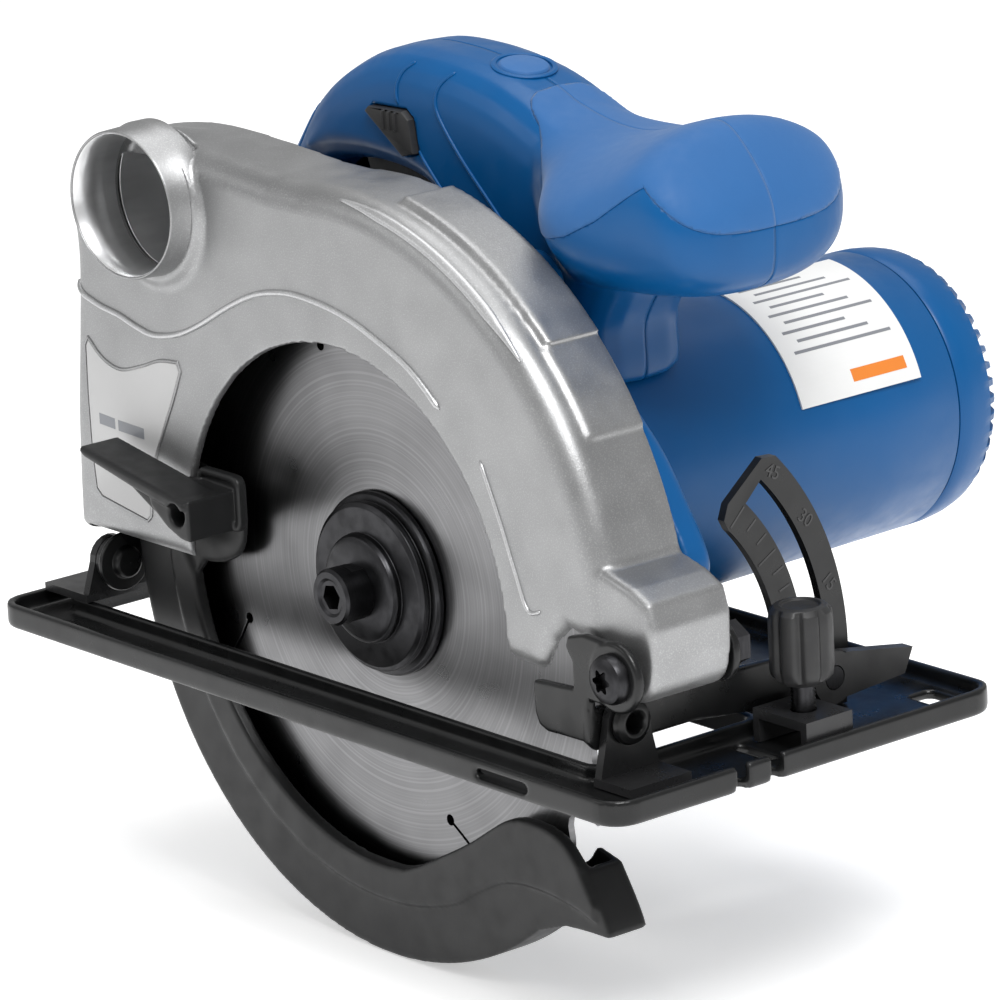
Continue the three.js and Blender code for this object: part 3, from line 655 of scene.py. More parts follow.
def upper_guard():
    casting = prism("upper_guard_casting", guard_outline(), "xz", GUARD_NEAR, GUARD_FAR, 7.0, 0.8, 6)
    lug_ring = (
        [(96, 30.5)] + arc(DEPTH_X, DEPTH_Z, 8, 200, 350, 14)
        + [(121.3, 36), (121.6, 45), (119.5, 51.5), (113.5, 54.5), (104, 57), (92, 58)]
    )
    lug = prism("lug", lug_ring, "xz", GUARD_NEAR + 1.2, GUARD_FAR, 2.2, 1.0, 3)
    seat = prism("seat", blade_arc(27.5, 0, 354, 60), "xz", GUARD_FAR - 2, GUARD_FAR)
    extras = [lug, seat]
    # raised bands stepped along the rim
    for start, end, radius, near in ((79, 45.5, 108.9, -70.5), (45.5, 31.5, 107.9, -71.5)):
        ring = band(GUARD_R - 3, radius, end, start, 24)
        extras.append(prism("rim_band", ring, "xz", near, GUARD_FAR, 1.5, 0.6, 4))
    combine(casting, extras, "UNION")
    root = loft("port_root", [port_ring(r, level, 0, drop) for r, level, drop in (
        (20.8, GUARD_NEAR - 2.6, 0.6), (22.4, GUARD_NEAR + 0.4, 2.4), (20.6, GUARD_NEAR + 8, 2.6), (17, -57, 2.6))])
    combine(casting, [root], "UNION")
    cuts = [
        prism("cavity", guard_cavity(), "xz", GUARD_NEAR + 2.5, GUARD_FAR - 2),
        prism("window", blade_arc(WINDOW_R, 0, 356, 90), "xz", GUARD_NEAR - 5, GUARD_NEAR + 4),
        loft("port_bore", [port_ring(19.5, -95), port_ring(19.5, GUARD_NEAR + 6)]),
        prism("spindle_hole", blade_arc(11.3, 0, 354, 40), "xz", -100, 0),
        prism("pivot_hole", arc(DEPTH_X, DEPTH_Z, 3.4, 0, 345, 20), "xz", -100, 0),
        prism("clamp_hole", arc(-52.4, 37, 3.4, 0, 345, 20), "xz", -70, 0),
    ]
    nose = turn("nose", "y", (BLADE_X, BLADE_Z),
                [(11.3, -60.9), (16.5, -60.9), (16.5, GUARD_FAR - 1), (11.3, GUARD_FAR - 1)], 48)
    combine(casting, cuts, "DIFFERENCE")
    combine(casting, [nose], "UNION")
    remesh(casting, 0.8, 2)
    piece(casting, "saw_head", "cast_aluminium", replaces=["upper_guard"])
    return BVHTree.FromObject(casting, bpy.context.evaluated_depsgraph_get())


PORT_AXIS = (-72.5, 125.3)
PORT_TIP = -90.6


def port_ring(radius, level, slant=0.0, drop=0.0):
    """One round section of the dust port, cut askew by the slant."""
    ring = arc(PORT_AXIS[0], PORT_AXIS[1] - drop, radius, 0, 357, 119)
    return [(x, level + slant * (x - PORT_AXIS[0]), z) for x, z in ring]


def port():
    """The dust port's cast tube, its bright machined bore and the trough behind it."""
    tube = loop_skin("dust_port_tube", [
        port_ring(19.75, PORT_TIP, 0.09), port_ring(20.0, PORT_TIP + 0.5, 0.09), port_ring(20.3, -83, 0.04),
        port_ring(20.9, GUARD_NEAR - 1.5), port_ring(20.9, GUARD_NEAR + 3), port_ring(19.2, GUARD_NEAR + 3),
        port_ring(19.2, PORT_TIP + 0.3, 0.09), port_ring(19.35, PORT_TIP, 0.09)])
    smooth_shade(tube)
    crisp(tube, 0.15, 1, 40)
    piece(tube, "saw_head", "cast_aluminium")
    liner = loop_skin("dust_port_bore", [
        port_ring(19.25, PORT_TIP + 0.4, 0.09), port_ring(19.05, PORT_TIP + 0.5, 0.09),
        port_ring(19.05, GUARD_NEAR + 2), port_ring(19.25, GUARD_NEAR + 2)])
    smooth_shade(liner)
    piece(liner, "saw_head", "cast_aluminium", "machined")
    ring = arc(*PORT_AXIS, 19.2, 152, 280, 30) + arc(*PORT_AXIS, 20.0, 280, 152, 30)
    trough = prism("dust_port_trough", ring, "xz", -76.4, -55.6)
    crisp(trough, 0.2, 1, 40)
    piece(trough, "saw_head", "cast_aluminium", "machined")


def loop_skin(name, rings):
    """A closed skin through rings, the last joined back to the first."""
    n = len(rings[0])
    verts = [p for ring in rings for p in ring]
    faces = []
    count = len(rings)
    for k in range(count):
        m = (k + 1) % count
        for i in range(n):
            j = (i + 1) % n
            faces.append([k * n + i, k * n + j, m * n + j, m * n + i])
    return new_object(name, verts, faces)


def guard_ridges(surface):
    """Crisp raised lines and a raised strip on the casting's face, both in a lighter copy of the cast aluminium as
    painted highlight.
    """
    paths = [
        ([(-111.5, 96.5), (-107, 94), (-99, 91.8), (-91, 90.6), (-83, 88.6), (-75.5, 87.6), (-65, 89.6), (-55, 93.8),
          (-42, 100.8), (-30, 106), (-18, 108.4), (-7, 108.4), (6, 106.6), (17.4, 103.2), (33, 96.7), (44.3, 88.2)], 0.85),
        ([(59.3, 77.9), (66, 63.6), (70.9, 51.6), (75.3, 42), (80.3, 42.5)], 0.55),
    ]
    lines = []
    for path, radius in paths:
        points = []
        for x, z in open_spline(path, 6):
            hit = surface.ray_cast(Vector((x, -120, z)) * MM, Vector((0, 1, 0)))[0]
            if hit:
                points.append(tuple(hit / MM + Vector((0, -0.05, 0))))
        lines.append(bead("ridge", points, radius, 10))
    ridges = join("guard_face_ridges", lines)
    smooth_shade(ridges)
    # The ridges get the lighter cast copy as painted highlight.
    piece(ridges, "saw_head", "cast_aluminium", "cast_painted_highlight")
    strip_rings = []
    steps = 48
    fillet = 7.0
    for i in range(steps + 1):
        turned = math.radians(87 - 42 * i / steps)
        width = min(1.0, 4.0 * min(i, steps - i) / steps + 0.2)
        ring = []
        for lean, lift in ((28, -0.6), (30, 0.35), (38, 0.5), (46, 0.5), (54, 0.35), (56, -0.6), (42, -1.6)):
            lean = math.radians(42 + (lean - 42) * width)
            r = GUARD_R - fillet + (fillet + lift) * math.cos(lean)
            y = GUARD_NEAR + fillet - (fillet + lift) * math.sin(lean)
            ring.append((BLADE_X + r * math.cos(turned), y, BLADE_Z + r * math.sin(turned)))
        strip_rings.append(ring)
    strip = loft("guard_edge_strip", strip_rings)
    smooth_shade(strip)
    # The strip gets the lighter cast copy as a painted highlight band along the fillet.
    piece(strip, "saw_head", "cast_aluminium", "cast_painted_highlight")


# ---------- lower guard and its lever ----------
def lower_guard():
    near, far = LOWER_LOW[1], LOWER_HIGH[1]
    toe = open_spline([(73.8, -44.3), (82.8, -43.9), (90.6, -43.5), (91.0, -41.5), (87.9, -35.5), (82.8, -27.4)], 4)
    inner = open_spline([(82.8, -27.4), (76.5, -21.2), (68.6, -18.6), (60.7, -18.4), (53.7, -20.2), (46.5, -24.4),
                         (39.1, -29.2), (29.2, -34.7), (13, -42.9)], 4)
    bottom = blade_arc(75, 278, 188, 36) + open_spline([(-71, 24), (-64, 25), (-57, 28), (-53.5, 33), (-53, 40)], 4)
    flange_ring = blade_arc(LOWER_R, 166, 308, 70) + toe + inner[1:-1] + bottom + [(-53.5, 49.5), (-62, 50)]
    body = prism("lower_guard_shell", flange_ring, "xz", near, near + 2.0, 0.7, 0.0, 2)
    rim = prism("rim", band(LOWER_R - 2.4, LOWER_R, 166, 312, 72), "xz", near + 0.5, far, 0.0, 0.6, 2)

    raised = blade_arc(85, 176, 292, 50) + open_spline([(38, -44), (50, -38), (62, -36), (76, -37), (86.5, -39.5)], 4)
    raised += [(87.6, -36), (82.6, -28.2)] + inner[1:-1] + blade_arc(75.3, 278, 188, 36)
    step_ring = prism("step", raised, "xz", near - 1.5, near + 1.0, 0.4, 0, 3)
    far_ring = blade_arc(LOWER_R - 0.5, 166, 312, 60) + [(60, -12), (22, 20)] + blade_arc(22, -10, 130, 16) + [(-30, 50)]
    far_flange = prism("far", far_ring, "xz", far - 2, far)
    hub = prism("hub", blade_arc(22, 0, 354, 60), "xz", far - 2, far)
    hook_ring = [(62, -45)] + toe + blade_arc(LOWER_R - 7, -37, -48, 6)
    hook = prism("hook", hook_ring, "xz", near + 0.4, far, 0.8, 1.2, 3)
    combine(body, [rim, far_flange, hub, hook, step_ring], "UNION")
    pocket = prism("pocket", [(62, -8), (73, -33), (83.5, -40.5), (86, -37), (81, -27), (86, -8)], "xz", near + 2.4, far - 2.2)
    cuts = [prism("bore", blade_arc(16.8, 0, 354, 50), "xz", -100, 0), pocket]
    combine(body, cuts, "DIFFERENCE")
    remesh(body, 0.7, 2)
    piece(body, "swing_guard", "dark_guard", replaces=["lower_guard"])


def guard_lever():
    base_ring = rounded_rect(-62.0, -43.5, 38.5, 54.0, 3.0, 4)
    base = prism("guard_lever_arm", base_ring, "xz", -79.6, -76.6, 0.8, 0.4, 3)
    recess = prism("recess", rounded_rect(-60.0, -45.2, 40.2, 52.3, 2.0, 4), "xz", -90, -78.8)
    combine(base, [recess], "DIFFERENCE")
    post = prism("post", rounded_rect(-61.0, -52.5, 37, 49.5, 2.0, 4), "xz", -78.4, -72.2)
    combine(base, [post], "UNION")
    block = prism("block", [(-64, 50.8), (-62.5, 46), (-56, 41.5), (-50, 39.2), (-46.2, 39.0), (-46.2, 50)],
                  "xz", -94.3, -78.6, 0.5, 0.4, 2)
    rib = prism("rib", [(-86, 54.0), (-76, 50.2), (-66, 45.0), (-56, 40.6), (-48, 39.0), (-48, 48), (-62, 51)],
                "xz", -92.5, -88.5, 0.6, 0.6, 2)
    wing_ring = [(-91.7, 57.4), (-92.6, 56), (-90.5, 54.6), (-70, 50.2), (-50.5, 46.6), (-46.5, 47.6), (-47, 49.6), (-56, 51.4)]
    wing = prism("wing", wing_ring, "xz", -95.5, -82.3, 1.0, 1.0, 3)
    combine(base, [block, rib, wing], "UNION")
    combine(base, [prism("eye", arc(-51.2, 45.8, 3.3, 0, 350, 32), "xz", -97, -84)], "DIFFERENCE")
    remesh(base, 0.4, 2)
    piece(base, "swing_guard", "dark_guard", replaces=["guard_lever"])


# ---------- blade and spindle ----------
def saw_blade():
    teeth = 24
    radius = 95.0
    gullet = radius - 9.5
    ring = []
    shape = [(radius - 0.4, 0.0), (radius - 0.9, 0.12), (radius - 2.6, 0.24), (radius - 3.6, 0.36), (gullet + 3.4, 0.5),
             (gullet + 1.0, 0.6), (gullet, 0.7), (gullet + 0.6, 0.8), (gullet + 2.6, 0.88), (radius - 4, 0.93)]
    for tooth in range(teeth):
        for r, share in shape:
            a = 2 * math.pi * (tooth + share) / teeth
            ring.append((r * math.cos(a), r * math.sin(a)))
    plate = prism("saw_blade_plate", ring, "xz", -1.0, 1.0)
    cuts = [prism("bore", arc(0, 0, 15.0, 0, 352, 48), "xz", -5, 5)]
    for k in range(4):
        turn_by = math.radians(90 * k + 20)
        path = []
        for i in range(11):
            r = 64 + 20 * i / 10
            a = turn_by + 0.10 * math.sin(math.pi * i / 14)
            path.append((r * math.cos(a), r * math.sin(a), a))
        left = [(x - 0.5 * math.sin(a), z + 0.5 * math.cos(a)) for x, z, a in path]
        right = [(x + 0.5 * math.sin(a), z - 0.5 * math.cos(a)) for x, z, a in reversed(path)]
        cuts.append(prism("slot", left + right, "xz", -5, 5))
        hole_x, hole_z = path[0][0], path[0][1]
        cuts.append(prism("relief", arc(hole_x, hole_z, 1.5, 0, 340, 16), "xz", -5, 5))
    combine(plate, cuts, "DIFFERENCE")
    crisp(plate, 0.12, 1, 50)
    paint(plate, "blade_steel")
    tips = []
    for tooth in range(teeth):
        a = 2 * math.pi * (tooth - 0.005) / teeth
        out, along = Vector((math.cos(a), math.sin(a))), Vector((-math.sin(a), math.cos(a)))
        corners = []
        for r, s in ((radius - 5.6, -0.9), (radius - 0.1, -0.6), (radius - 0.5, 1.9), (radius - 4.8, 1.3)):
            point = out * r + along * s
            corners.append((point.x, point.y))
        tips.append(prism("tip", corners, "xz", -1.2, 1.2))
    tip_ring = join("saw_blade_carbide_tips", tips)
    crisp(tip_ring, 0.1, 1, 30)
    for obj in (plate, tip_ring):
        obj.location = Vector((BLADE_X, BLADE_Y, BLADE_Z)) * MM
    bpy.context.view_layer.update()
    piece(plate, "spindle", "blade_steel", replaces=["saw_blade"])
    piece(tip_ring, "spindle", "blade_steel", "carbide")


def spindle_parts():
    centre = (BLADE_X, BLADE_Z)
    flange = turn("outer_flange_turned", "y", centre, [
        (4.3, -75.4), (12.6, -75.4), (14.0, -74.8), (14.6, -73.6), (14.6, -72.2), (21.4, -72.0), (22.6, -71.2),
        (22.9, -69.9), (22.2, -69.5), (22.2, -68.9), (24.0, -68.5), (24.6, -67.6), (24.6, -66.3), (4.3, -66.3)], 96)
    crisp(flange, 0.25, 2, 25)
    piece(flange, "spindle", "dark_steel", replaces=["outer_flange"])
    bolt = turn("blade_bolt_head", "y", centre, [
        (0.01, -50), (4.0, -50), (4.0, -75.4), (7.2, -75.4), (7.5, -76.2), (7.5, -83.6), (6.8, -84.4), (5.2, -84.4),
        (4.4, -83.8), (0.01, -83.8)], 64)
    socket = prism("socket", arc(*centre, 3.6, 10, 310, 5), "xz", -90, -79.5)
    flats = [
        prism("flat", [(BLADE_X - 12, BLADE_Z + s * 6.6), (BLADE_X + 12, BLADE_Z + s * 6.6),
                       (BLADE_X + 12, BLADE_Z + s * 12), (BLADE_X - 12, BLADE_Z + s * 12)], "xz", -79.6, -75.0)
        for s in (1, -1)
    ]
    combine(bolt, [socket] + flats, "DIFFERENCE")
    crisp(bolt, 0.25, 2, 25)
    piece(bolt, "spindle", "dark_steel", replaces=["blade_bolt"])


# ---------- motor ----------
def motor_housing():
    radius = HOUSING_HIGH[0] - MOTOR_X
    rear_radius = 38.3
    front, rear = HOUSING_LOW[1], HOUSING_HIGH[1]
    wall = 2.6
    outer = [(radius, front), (radius, front + 14), (radius - 0.1, front + 20), (radius - 0.7, front + 45)]
    outer += [(rear_radius + 0.4, rear - 30), (rear_radius, rear - 0.8), (rear_radius - 0.5, rear)]
    inner = [(rear_radius - wall, rear), (radius - wall, front + 20), (radius - wall, front)]
    shell = turn("motor_housing_shell", "y", (MOTOR_X, MOTOR_Z), outer + inner, 128)
    crisp(shell, 0.4, 2, 40)
    piece(shell, "saw_head", "blue_plastic", replaces=["motor_housing"])


def end_cap():
    rear_radius = 38.3
    start, end = CAP_LOW[1], CAP_HIGH[1]

    outline = [(rear_radius - 0.5, start), (rear_radius, start + 0.8), (rear_radius - 0.1, start + 5)]
    outline += [(rear_radius - 0.6, start + 9), (rear_radius - 1.4, start + 12.0), (rear_radius - 1.5, start + 12.1)]
    outline += [(rear_radius - 2.6, start + 14.4), (rear_radius - 4.6, start + 16.5), (rear_radius - 8, start + 18.2)]
    outline += [(rear_radius - 12, start + 18.9), (rear_radius - 12.1, start + 18.9), (rear_radius - 20, end - 0.2)]
    outline += [(0.01, end), (0.01, end - 3), (rear_radius - 16, end - 4.5), (rear_radius - 9, start + 13)]
    outline += [(rear_radius - 5.2, start + 8), (rear_radius - 3.2, start)]
    slots = 48
    per_slot = 6

    def ribbed(k, r, level, segment):
        in_slot = segment % per_slot >= per_slot // 2
        if in_slot and 5 <= k <= 9:
            return r - 2.4
        return r

    cap = turn("motor_end_cap_ribbed", "y", (MOTOR_X, MOTOR_Z), outline, slots * per_slot, ribbed)
    crisp(cap, 0.15, 1, 40)
    piece(cap, "saw_head", "blue_plastic", replaces=["motor_end_cap"])


def gear_case():
    low, high = box_mm("gear_case")
    back = high[1]
    hull = []
    lean = 90 - math.degrees(math.asin(7.5 / 32.5))
    along = math.degrees(math.atan2(MOTOR_Z - BLADE_Z, MOTOR_X - BLADE_X))
    hull += arc(BLADE_X, BLADE_Z, 27.5, along + lean, along + 360 - lean, 50)
    hull += arc(MOTOR_X, MOTOR_Z, 20, along - lean, along + lean, 30)
    case = prism("gear_case_cover", hull, "xz", low[1], back, 0.0, 2.0, 3)
    lobe = prism("lobe", spline([(30, 30), (60, 33), (84, 37), (97, 40.5), (104, 47), (105, 54), (98, 66), (86, 82), (66, 96),
                                 (48, 92), (34, 70)], 5), "xz", low[1], -43.2, 0.0, 4.0, 5)
    collar = turn("collar", "y", (MOTOR_X, MOTOR_Z), [(20, -47), (42.5, -47), (43.5, -44), (42.0, -33), (40.2, -30), (20, -30)], 80)
    boss = turn("boss", "y", (39, 112), [(0.01, low[1]), (9.5, low[1]), (9.5, -41), (8.2, -39.6), (5.5, -39.6), (5.0, -41), (0.01, -41)], 48)
    web = prism("web", [(24, 84), (52, 84), (49, 114), (30, 114)], "xz", low[1], -44)
    combine(case, [lobe, collar, boss, web], "UNION")
    remesh(case, 1.0, 4)
    piece(case, "saw_head", "blue_plastic", replaces=["gear_case"])


# ---------- handle ----------
GRIP = [(-76, 129), (-91, 109), (-98, 90), (-96, 73), (-84, 62), (-50, 55), (-23, 52), (-14, 72), (4, 90), (21.7, 94),
        (50, 84), (53, 100), (60, 112), (62, 125), (60, 147), (50, 149.6), (36.5, 151.9), (22.2, 157.6), (9.5, 161.2),
        (-8, 163.6), (-27, 163.4), (-43.8, 158.3), (-61.1, 147.2)]
FINGERS = [(-62, 126), (-76, 110), (-81, 94), (-76, 82), (-50, 76), (-28, 78), (-14, 96), (-9, 112), (-12, 124),
           (-24, 129), (-45, 130)]
# knob stations: x, top, half width, shoulder, edge height, lower half width, lower height, bottom
KNOB = [
    (16, 158.6, 15.5, 156.0, 148, 16, 124, 106),
    (30, 154.6, 17.0, 151.8, 144, 17, 122, 105),
    (41, 151.6, 21.0, 148.5, 139, 19, 120, 106),
    (50, 150.8, 33.0, 146.4, 134.5, 27, 121, 109),
    (57, 151.0, 38.6, 145.2, 133.0, 32, 122, 111),
    (66, 153.0, 38.6, 146.5, 135.0, 33.5, 121, 112),
    (78, 156.8, 35.6, 151.0, 140.5, 33, 121, 112.5),
    (87, 158.9, 33.6, 154.0, 146.0, 32, 122, 113.5),
    (94, 152.5, 32.0, 149.2, 142.5, 30.5, 123, 114.5),
    (100, 145.6, 28.5, 143.0, 137.0, 28.5, 125, 117),
    (104.6, 137.5, 17.0, 136.5, 133.0, 17, 128, 121.5),
]


def knob_solid():
    rings = []
    for x, top, w, shoulder, edge, lw, low, bottom in KNOB:
        half = [(0.0, top), (w * 0.5, (top + shoulder) / 2 + 0.6), (w * 0.86, (shoulder + edge) / 2 + 1.2), (w, edge),
                (lw, low), (lw * 0.6, bottom + 1.2)]
        ring = [(x, SEAM_Y - u, z) for u, z in half] + [(x, SEAM_Y, bottom)]
        ring += [(x, SEAM_Y + u, z) for u, z in reversed(half[1:])]
        rings.append(ring)
    solid = loft("knob", rings)
    tool = solid.modifiers.new("round", "SUBSURF")
    tool.levels = 2
    tool.render_levels = 2
    return bake(solid)


def grip_solid():
    outline = spline(GRIP, 6)
    widths = [(-17.4, -13), (-16.8, -8.5), (-15.2, -4.6), (-12.4, -1.8), (-8, -0.35), (0, 0), (8, -0.35), (12.4, -1.8),
              (15.2, -4.6), (16.8, -8.5), (17.4, -13)]
    solid = loft("grip", [[(x, SEAM_Y + w, z) for x, z in grow(outline, inset)] for w, inset in widths])
    opening = spline(FINGERS, 6)
    flare = [(-19, 11), (-16.5, 6), (-13, 2.2), (-8, 0.3), (0, 0), (8, 0.3), (13, 2.2), (16.5, 6), (19, 11)]
    cutter = loft("fingers", [[(x, SEAM_Y + w, z) for x, z in grow(opening, out)] for w, out in flare])
    return combine(solid, [cutter], "DIFFERENCE")


def side_cut(points, low=-90, high=60):
    return prism("side_cut", points, "xz", low, high)


FRONT_PAD = [(17.5, 175), (19.5, 160), (24, 155.5), (31, 150.5), (38, 142), (44, 134), (50, 130.2), (58, 129.6), (66, 131.5),
             (76, 136.5), (90, 146.3), (96, 141), (104, 133.2), (112, 130.5), (112, 175)]
REAR_PAD = [(-50, 175), (-56, 156), (-64, 140), (-72, 124), (-79, 106), (-82, 92), (-110, 90), (-120, 120), (-100, 175)]


def split_at_seam(obj, names):
    made = []
    for name, side in zip(names, (-1, 1)):
        mesh = obj.data.copy()
        half = bpy.data.objects.new(name, mesh)
        bpy.context.scene.collection.objects.link(half)
        bm = bmesh.new()
        bm.from_mesh(mesh)
        level = (SEAM_Y + side * 0.13) * MM
        cut = bmesh.ops.bisect_plane(bm, geom=bm.verts[:] + bm.edges[:] + bm.faces[:], plane_co=(0, level, 0),
                                     plane_no=(0, -side, 0), clear_outer=True)
        edges = [e for e in cut["geom_cut"] if isinstance(e, bmesh.types.BMEdge)]
        bmesh.ops.holes_fill(bm, edges=edges, sides=0)
        bmesh.ops.recalc_face_normals(bm, faces=bm.faces)
        bm.to_mesh(mesh)
        bm.free()
        made.append(half)
    bpy.data.objects.remove(obj)
    return made


def duplicate(obj, name):
    copy = bpy.data.objects.new(name, obj.data.copy())
    bpy.context.scene.collection.objects.link(copy)
    return copy


def handle():
    solid = join("handle_solid", [grip_solid(), knob_solid()])
    remesh(solid, 1.0, 4)
    motor = turn("motor_clear", "y", (MOTOR_X, MOTOR_Z), [(0.01, -60), (40.4, -60), (40.4, 60), (0.01, 60)], 96)
    button = prism("button_pocket", LOCK_POCKET, "xz", -60, -26.2)
    blade = prism("trigger_pocket", [(-52, 118), (-13, 118), (-13, 140), (-52, 140)], "xz", -26.3, -10.7)
    inlet = turn("inlet_pocket", "x", (SEAM_Y, 80), [(0.01, -120), (7.3, -120), (7.3, -90), (0.01, -90)], 40)
    combine(solid, [motor, button, blade, inlet], "DIFFERENCE")
    surface = BVHTree.FromObject(solid, bpy.context.evaluated_depsgraph_get())
    for name, ring in (("front_grip", FRONT_PAD), ("rear_grip", REAR_PAD)):
        pad = combine(duplicate(solid, name), [side_cut(grow(ring, -0.25))], "INTERSECT")
        halves = split_at_seam(pad, (name + "_cover_right", name + "_cover_left"))
        for half, side in zip(halves, ("right", "left")):
            proud = half.modifiers.new("proud", "DISPLACE")
            proud.strength = 0.35 * MM
            proud.mid_level = 0.0
            smooth_shade(half)
            piece(half, "saw_head", "blue_rubber", replaces=[name + "_pad_" + side])
    combine(solid, [side_cut(FRONT_PAD), side_cut(REAR_PAD)], "DIFFERENCE")
    halves = split_at_seam(solid, ("handle_cover_right", "handle_cover_left"))
    for half, side in zip(halves, ("right", "left")):
        smooth_shade(half)
        piece(half, "saw_head", "blue_plastic", replaces=["handle_" + side + "_shell"])
    return surface


LOCK_POCKET = [(-35.2, 146.6), (-33, 148.6), (-18.5, 149.0), (-15.6, 146.8), (-14.0, 137.2), (-19.5, 135.8), (-27, 141)]


def on_flank(surface, x, z, side):
    start = Vector((x, SEAM_Y + side * 60, z)) * MM
    hit = surface.ray_cast(start, Vector((0, -side, 0)))[0]
    return hit / MM if hit else None


def flank_lines(surface):
    """Raised styling lines that sweep down both flanks of the handle."""
    paths = [
        [(-18, 161), (-22, 157), (-22, 150), (-14, 138), (0, 124), (14, 112)],
        [(-2, 160.2), (-6, 156), (-6, 150), (2, 140), (16, 127), (28, 116)],
    ]
    lines = []
    for side in (-1, 1):
        for path in paths:
            hits = [on_flank(surface, x, z, side) for x, z in open_spline(path, 7)]
            points = [tuple(h + Vector((0, side * 0.05, 0))) for h in hits if h]
            if len(points) > 3:
                lines.append(bead("line", points, 0.5))
    lines = join("handle_styling_lines", lines)
    smooth_shade(lines)
    piece(lines, "saw_head", "blue_plastic")


def handle_cap(surface):
    x, y = 9.3, SEAM_Y
    top, normal, _, _ = surface.ray_cast(Vector((x, y, 200)) * MM, Vector((0, 0, -1)))
    profile = [(0.01, -4), (6.7, -4), (6.7, -0.1), (6.2, 0.45), (4, 0.8), (0.01, 0.9)]
    cap = turn("handle_top_cap", "z", (0, 0), profile, 64)
    groove = turn("handle_cap_collar", "z", (0, 0), [(7.1, -1.5), (8.5, -1.5), (8.9, 0.0), (8.2, 0.35), (7.3, 0.2)], 64)
    tilt = Vector((0, 0, 1)).rotation_difference(normal.normalized()).to_matrix().to_4x4()
    for obj, look in ((cap, "blue_rubber"), (groove, "blue_plastic")):
        obj.data.transform(Matrix.Translation(top) @ tilt)
        crisp(obj, 0.2, 2, 30)
    piece(cap, "saw_head", "blue_rubber", replaces=["handle_cap"])
    piece(groove, "saw_head", "blue_plastic")


def switches():
    lock = prism("lock_off_slider", grow(LOCK_POCKET, -0.5), "xz", -38.0, -29.6, 0.8, 0.2, 2)
    ridge = [prism("ridge", [(x, 143), (x + 1.0, 143), (x + 1.0, 148), (x, 148)], "xz", -38.6, -37.4, 0.3, 0, 2)
             for x in (-26.5, -24, -21.5)]
    combine(lock, ridge, "UNION")
    crisp(lock, 0.35, 2, 30)
    piece(lock, "lock_off", "black_plastic", replaces=["lock_off_button"])
    blade = [(-50, 136), (-50.5, 127), (-47, 119), (-41, 115.6), (-33, 116.6), (-24, 121), (-16, 127), (-14, 136)]
    trigger = prism("trigger_lever", spline(blade, 4), "xz", -25.4, -11.6, 2.4, 2.4, 4)
    smooth_shade(trigger)
    piece(trigger, "trigger_blade", "black_plastic", replaces=["trigger"])


# ---------- shoe ----------
def rounded_rect(x0, x1, y0, y1, radius, steps=6):
    return (
        arc(x1 - radius, y1 - radius, radius, 0, 90, steps) + arc(x0 + radius, y1 - radius, radius, 90, 180, steps)
        + arc(x0 + radius, y0 + radius, radius, 180, 270, steps) + arc(x1 - radius, y0 + radius, radius, 270, 360, steps)
    )


SLOT = (-120.5, 100.0, -80.5, -28.5)


def shoe_plate():
    x0, y0, _ = SHOE_LOW
    x1, y1, rim = SHOE_HIGH
    sheet = 2.5
    wall = 2.2
    plate = prism("shoe_pressing", rounded_rect(x0, x1, y0, y1, 8), "xy", 0, rim, 1.6, 0.6, 3)
    pan = prism("pan", rounded_rect(x0 + wall, x1 - wall, y0 + wall, y1 - wall, 6), "xy", sheet, rim + 5, 1.2, 0, 3)
    combine(plate, [pan], "DIFFERENCE")
    sx0, sx1, sy0, sy1 = SLOT
    rim_ring = prism("rim_ring", rounded_rect(sx0 - wall, sx1 + wall, sy0 - wall, sy1 + wall, 6), "xy", 0.4, rim, 0, 0.6, 2)
    combine(plate, [rim_ring], "UNION")
    cuts = [prism("slot", rounded_rect(sx0, sx1, sy0, sy1, 4), "xy", -5, rim + 5)]
    for a, b in ((-58.5, -54.5), (-47.1, -42.9)):
        cuts.append(prism("notch", rounded_rect(x1 - 5, x1 + 5, a, b, 1.4, 3), "xy", -5, rim + 5))
    for a, b, c, d in ((104, 119, -40, -36), (107, 121, 18, 26), (60, 66, -18, 14)):
        cuts.append(prism("opening", rounded_rect(a, b, c, d, 1.9, 4), "xy", -5, rim + 5))
    rim_slot = prism("rim_slot", rounded_rect(74, 94, 2.2, 4.9, 1.3, 4), "xz", y0 - 3, y0 + wall + 0.6)
    cuts.append(rim_slot)
    combine(plate, cuts, "DIFFERENCE")
    remesh(plate, 0.75, 2)
    piece(plate, "shoe", "black_paint", replaces=["shoe_plate"])


def quadrant():
    low, high = box_mm("bevel_quadrant")
    x0, x1 = high[0] - 2.5, high[0]
    centre = (TILT_Y, TILT_Z)
    floor = low[2]
    outer = arc(*centre, 79, -10, 44, 40)
    inner = arc(*centre, 56, 44, -13, 40)
    nose = [(TILT_Y + 76 * math.cos(math.radians(46.6)), TILT_Z + 76 * math.sin(math.radians(46.6))),
            (TILT_Y + 61 * math.cos(math.radians(48.6)), TILT_Z + 61 * math.sin(math.radians(48.6))),
            (TILT_Y + 57 * math.cos(math.radians(47.0)), TILT_Z + 57 * math.sin(math.radians(47.0)))]
    arch = prism("quadrant_plate", outer + nose + inner, "yz", x0, x1)
    slot = prism("slot", arc(*centre, 71.7, -7.5, 44, 36) + arc(*centre, 64.3, 44, -7.5, 36), "yz", x0 - 3, x1 + 3)
    below = prism("below", [(-60, -60), (60, -60), (60, floor), (-60, floor)], "yz", x0 - 3, x1 + 3)
    combine(arch, [slot, below], "DIFFERENCE")
    foot = prism("foot", [(x0 - 10, -19.5), (x1, -19.5), (x1, 4), (x0 - 10, 4)], "xy", floor, floor + 2.2)
    combine(arch, [foot], "UNION")
    crisp(arch, 0.5, 2, 40)
    piece(arch, "shoe", "black_paint", replaces=["bevel_quadrant"])
    scale_marks(x1, centre)


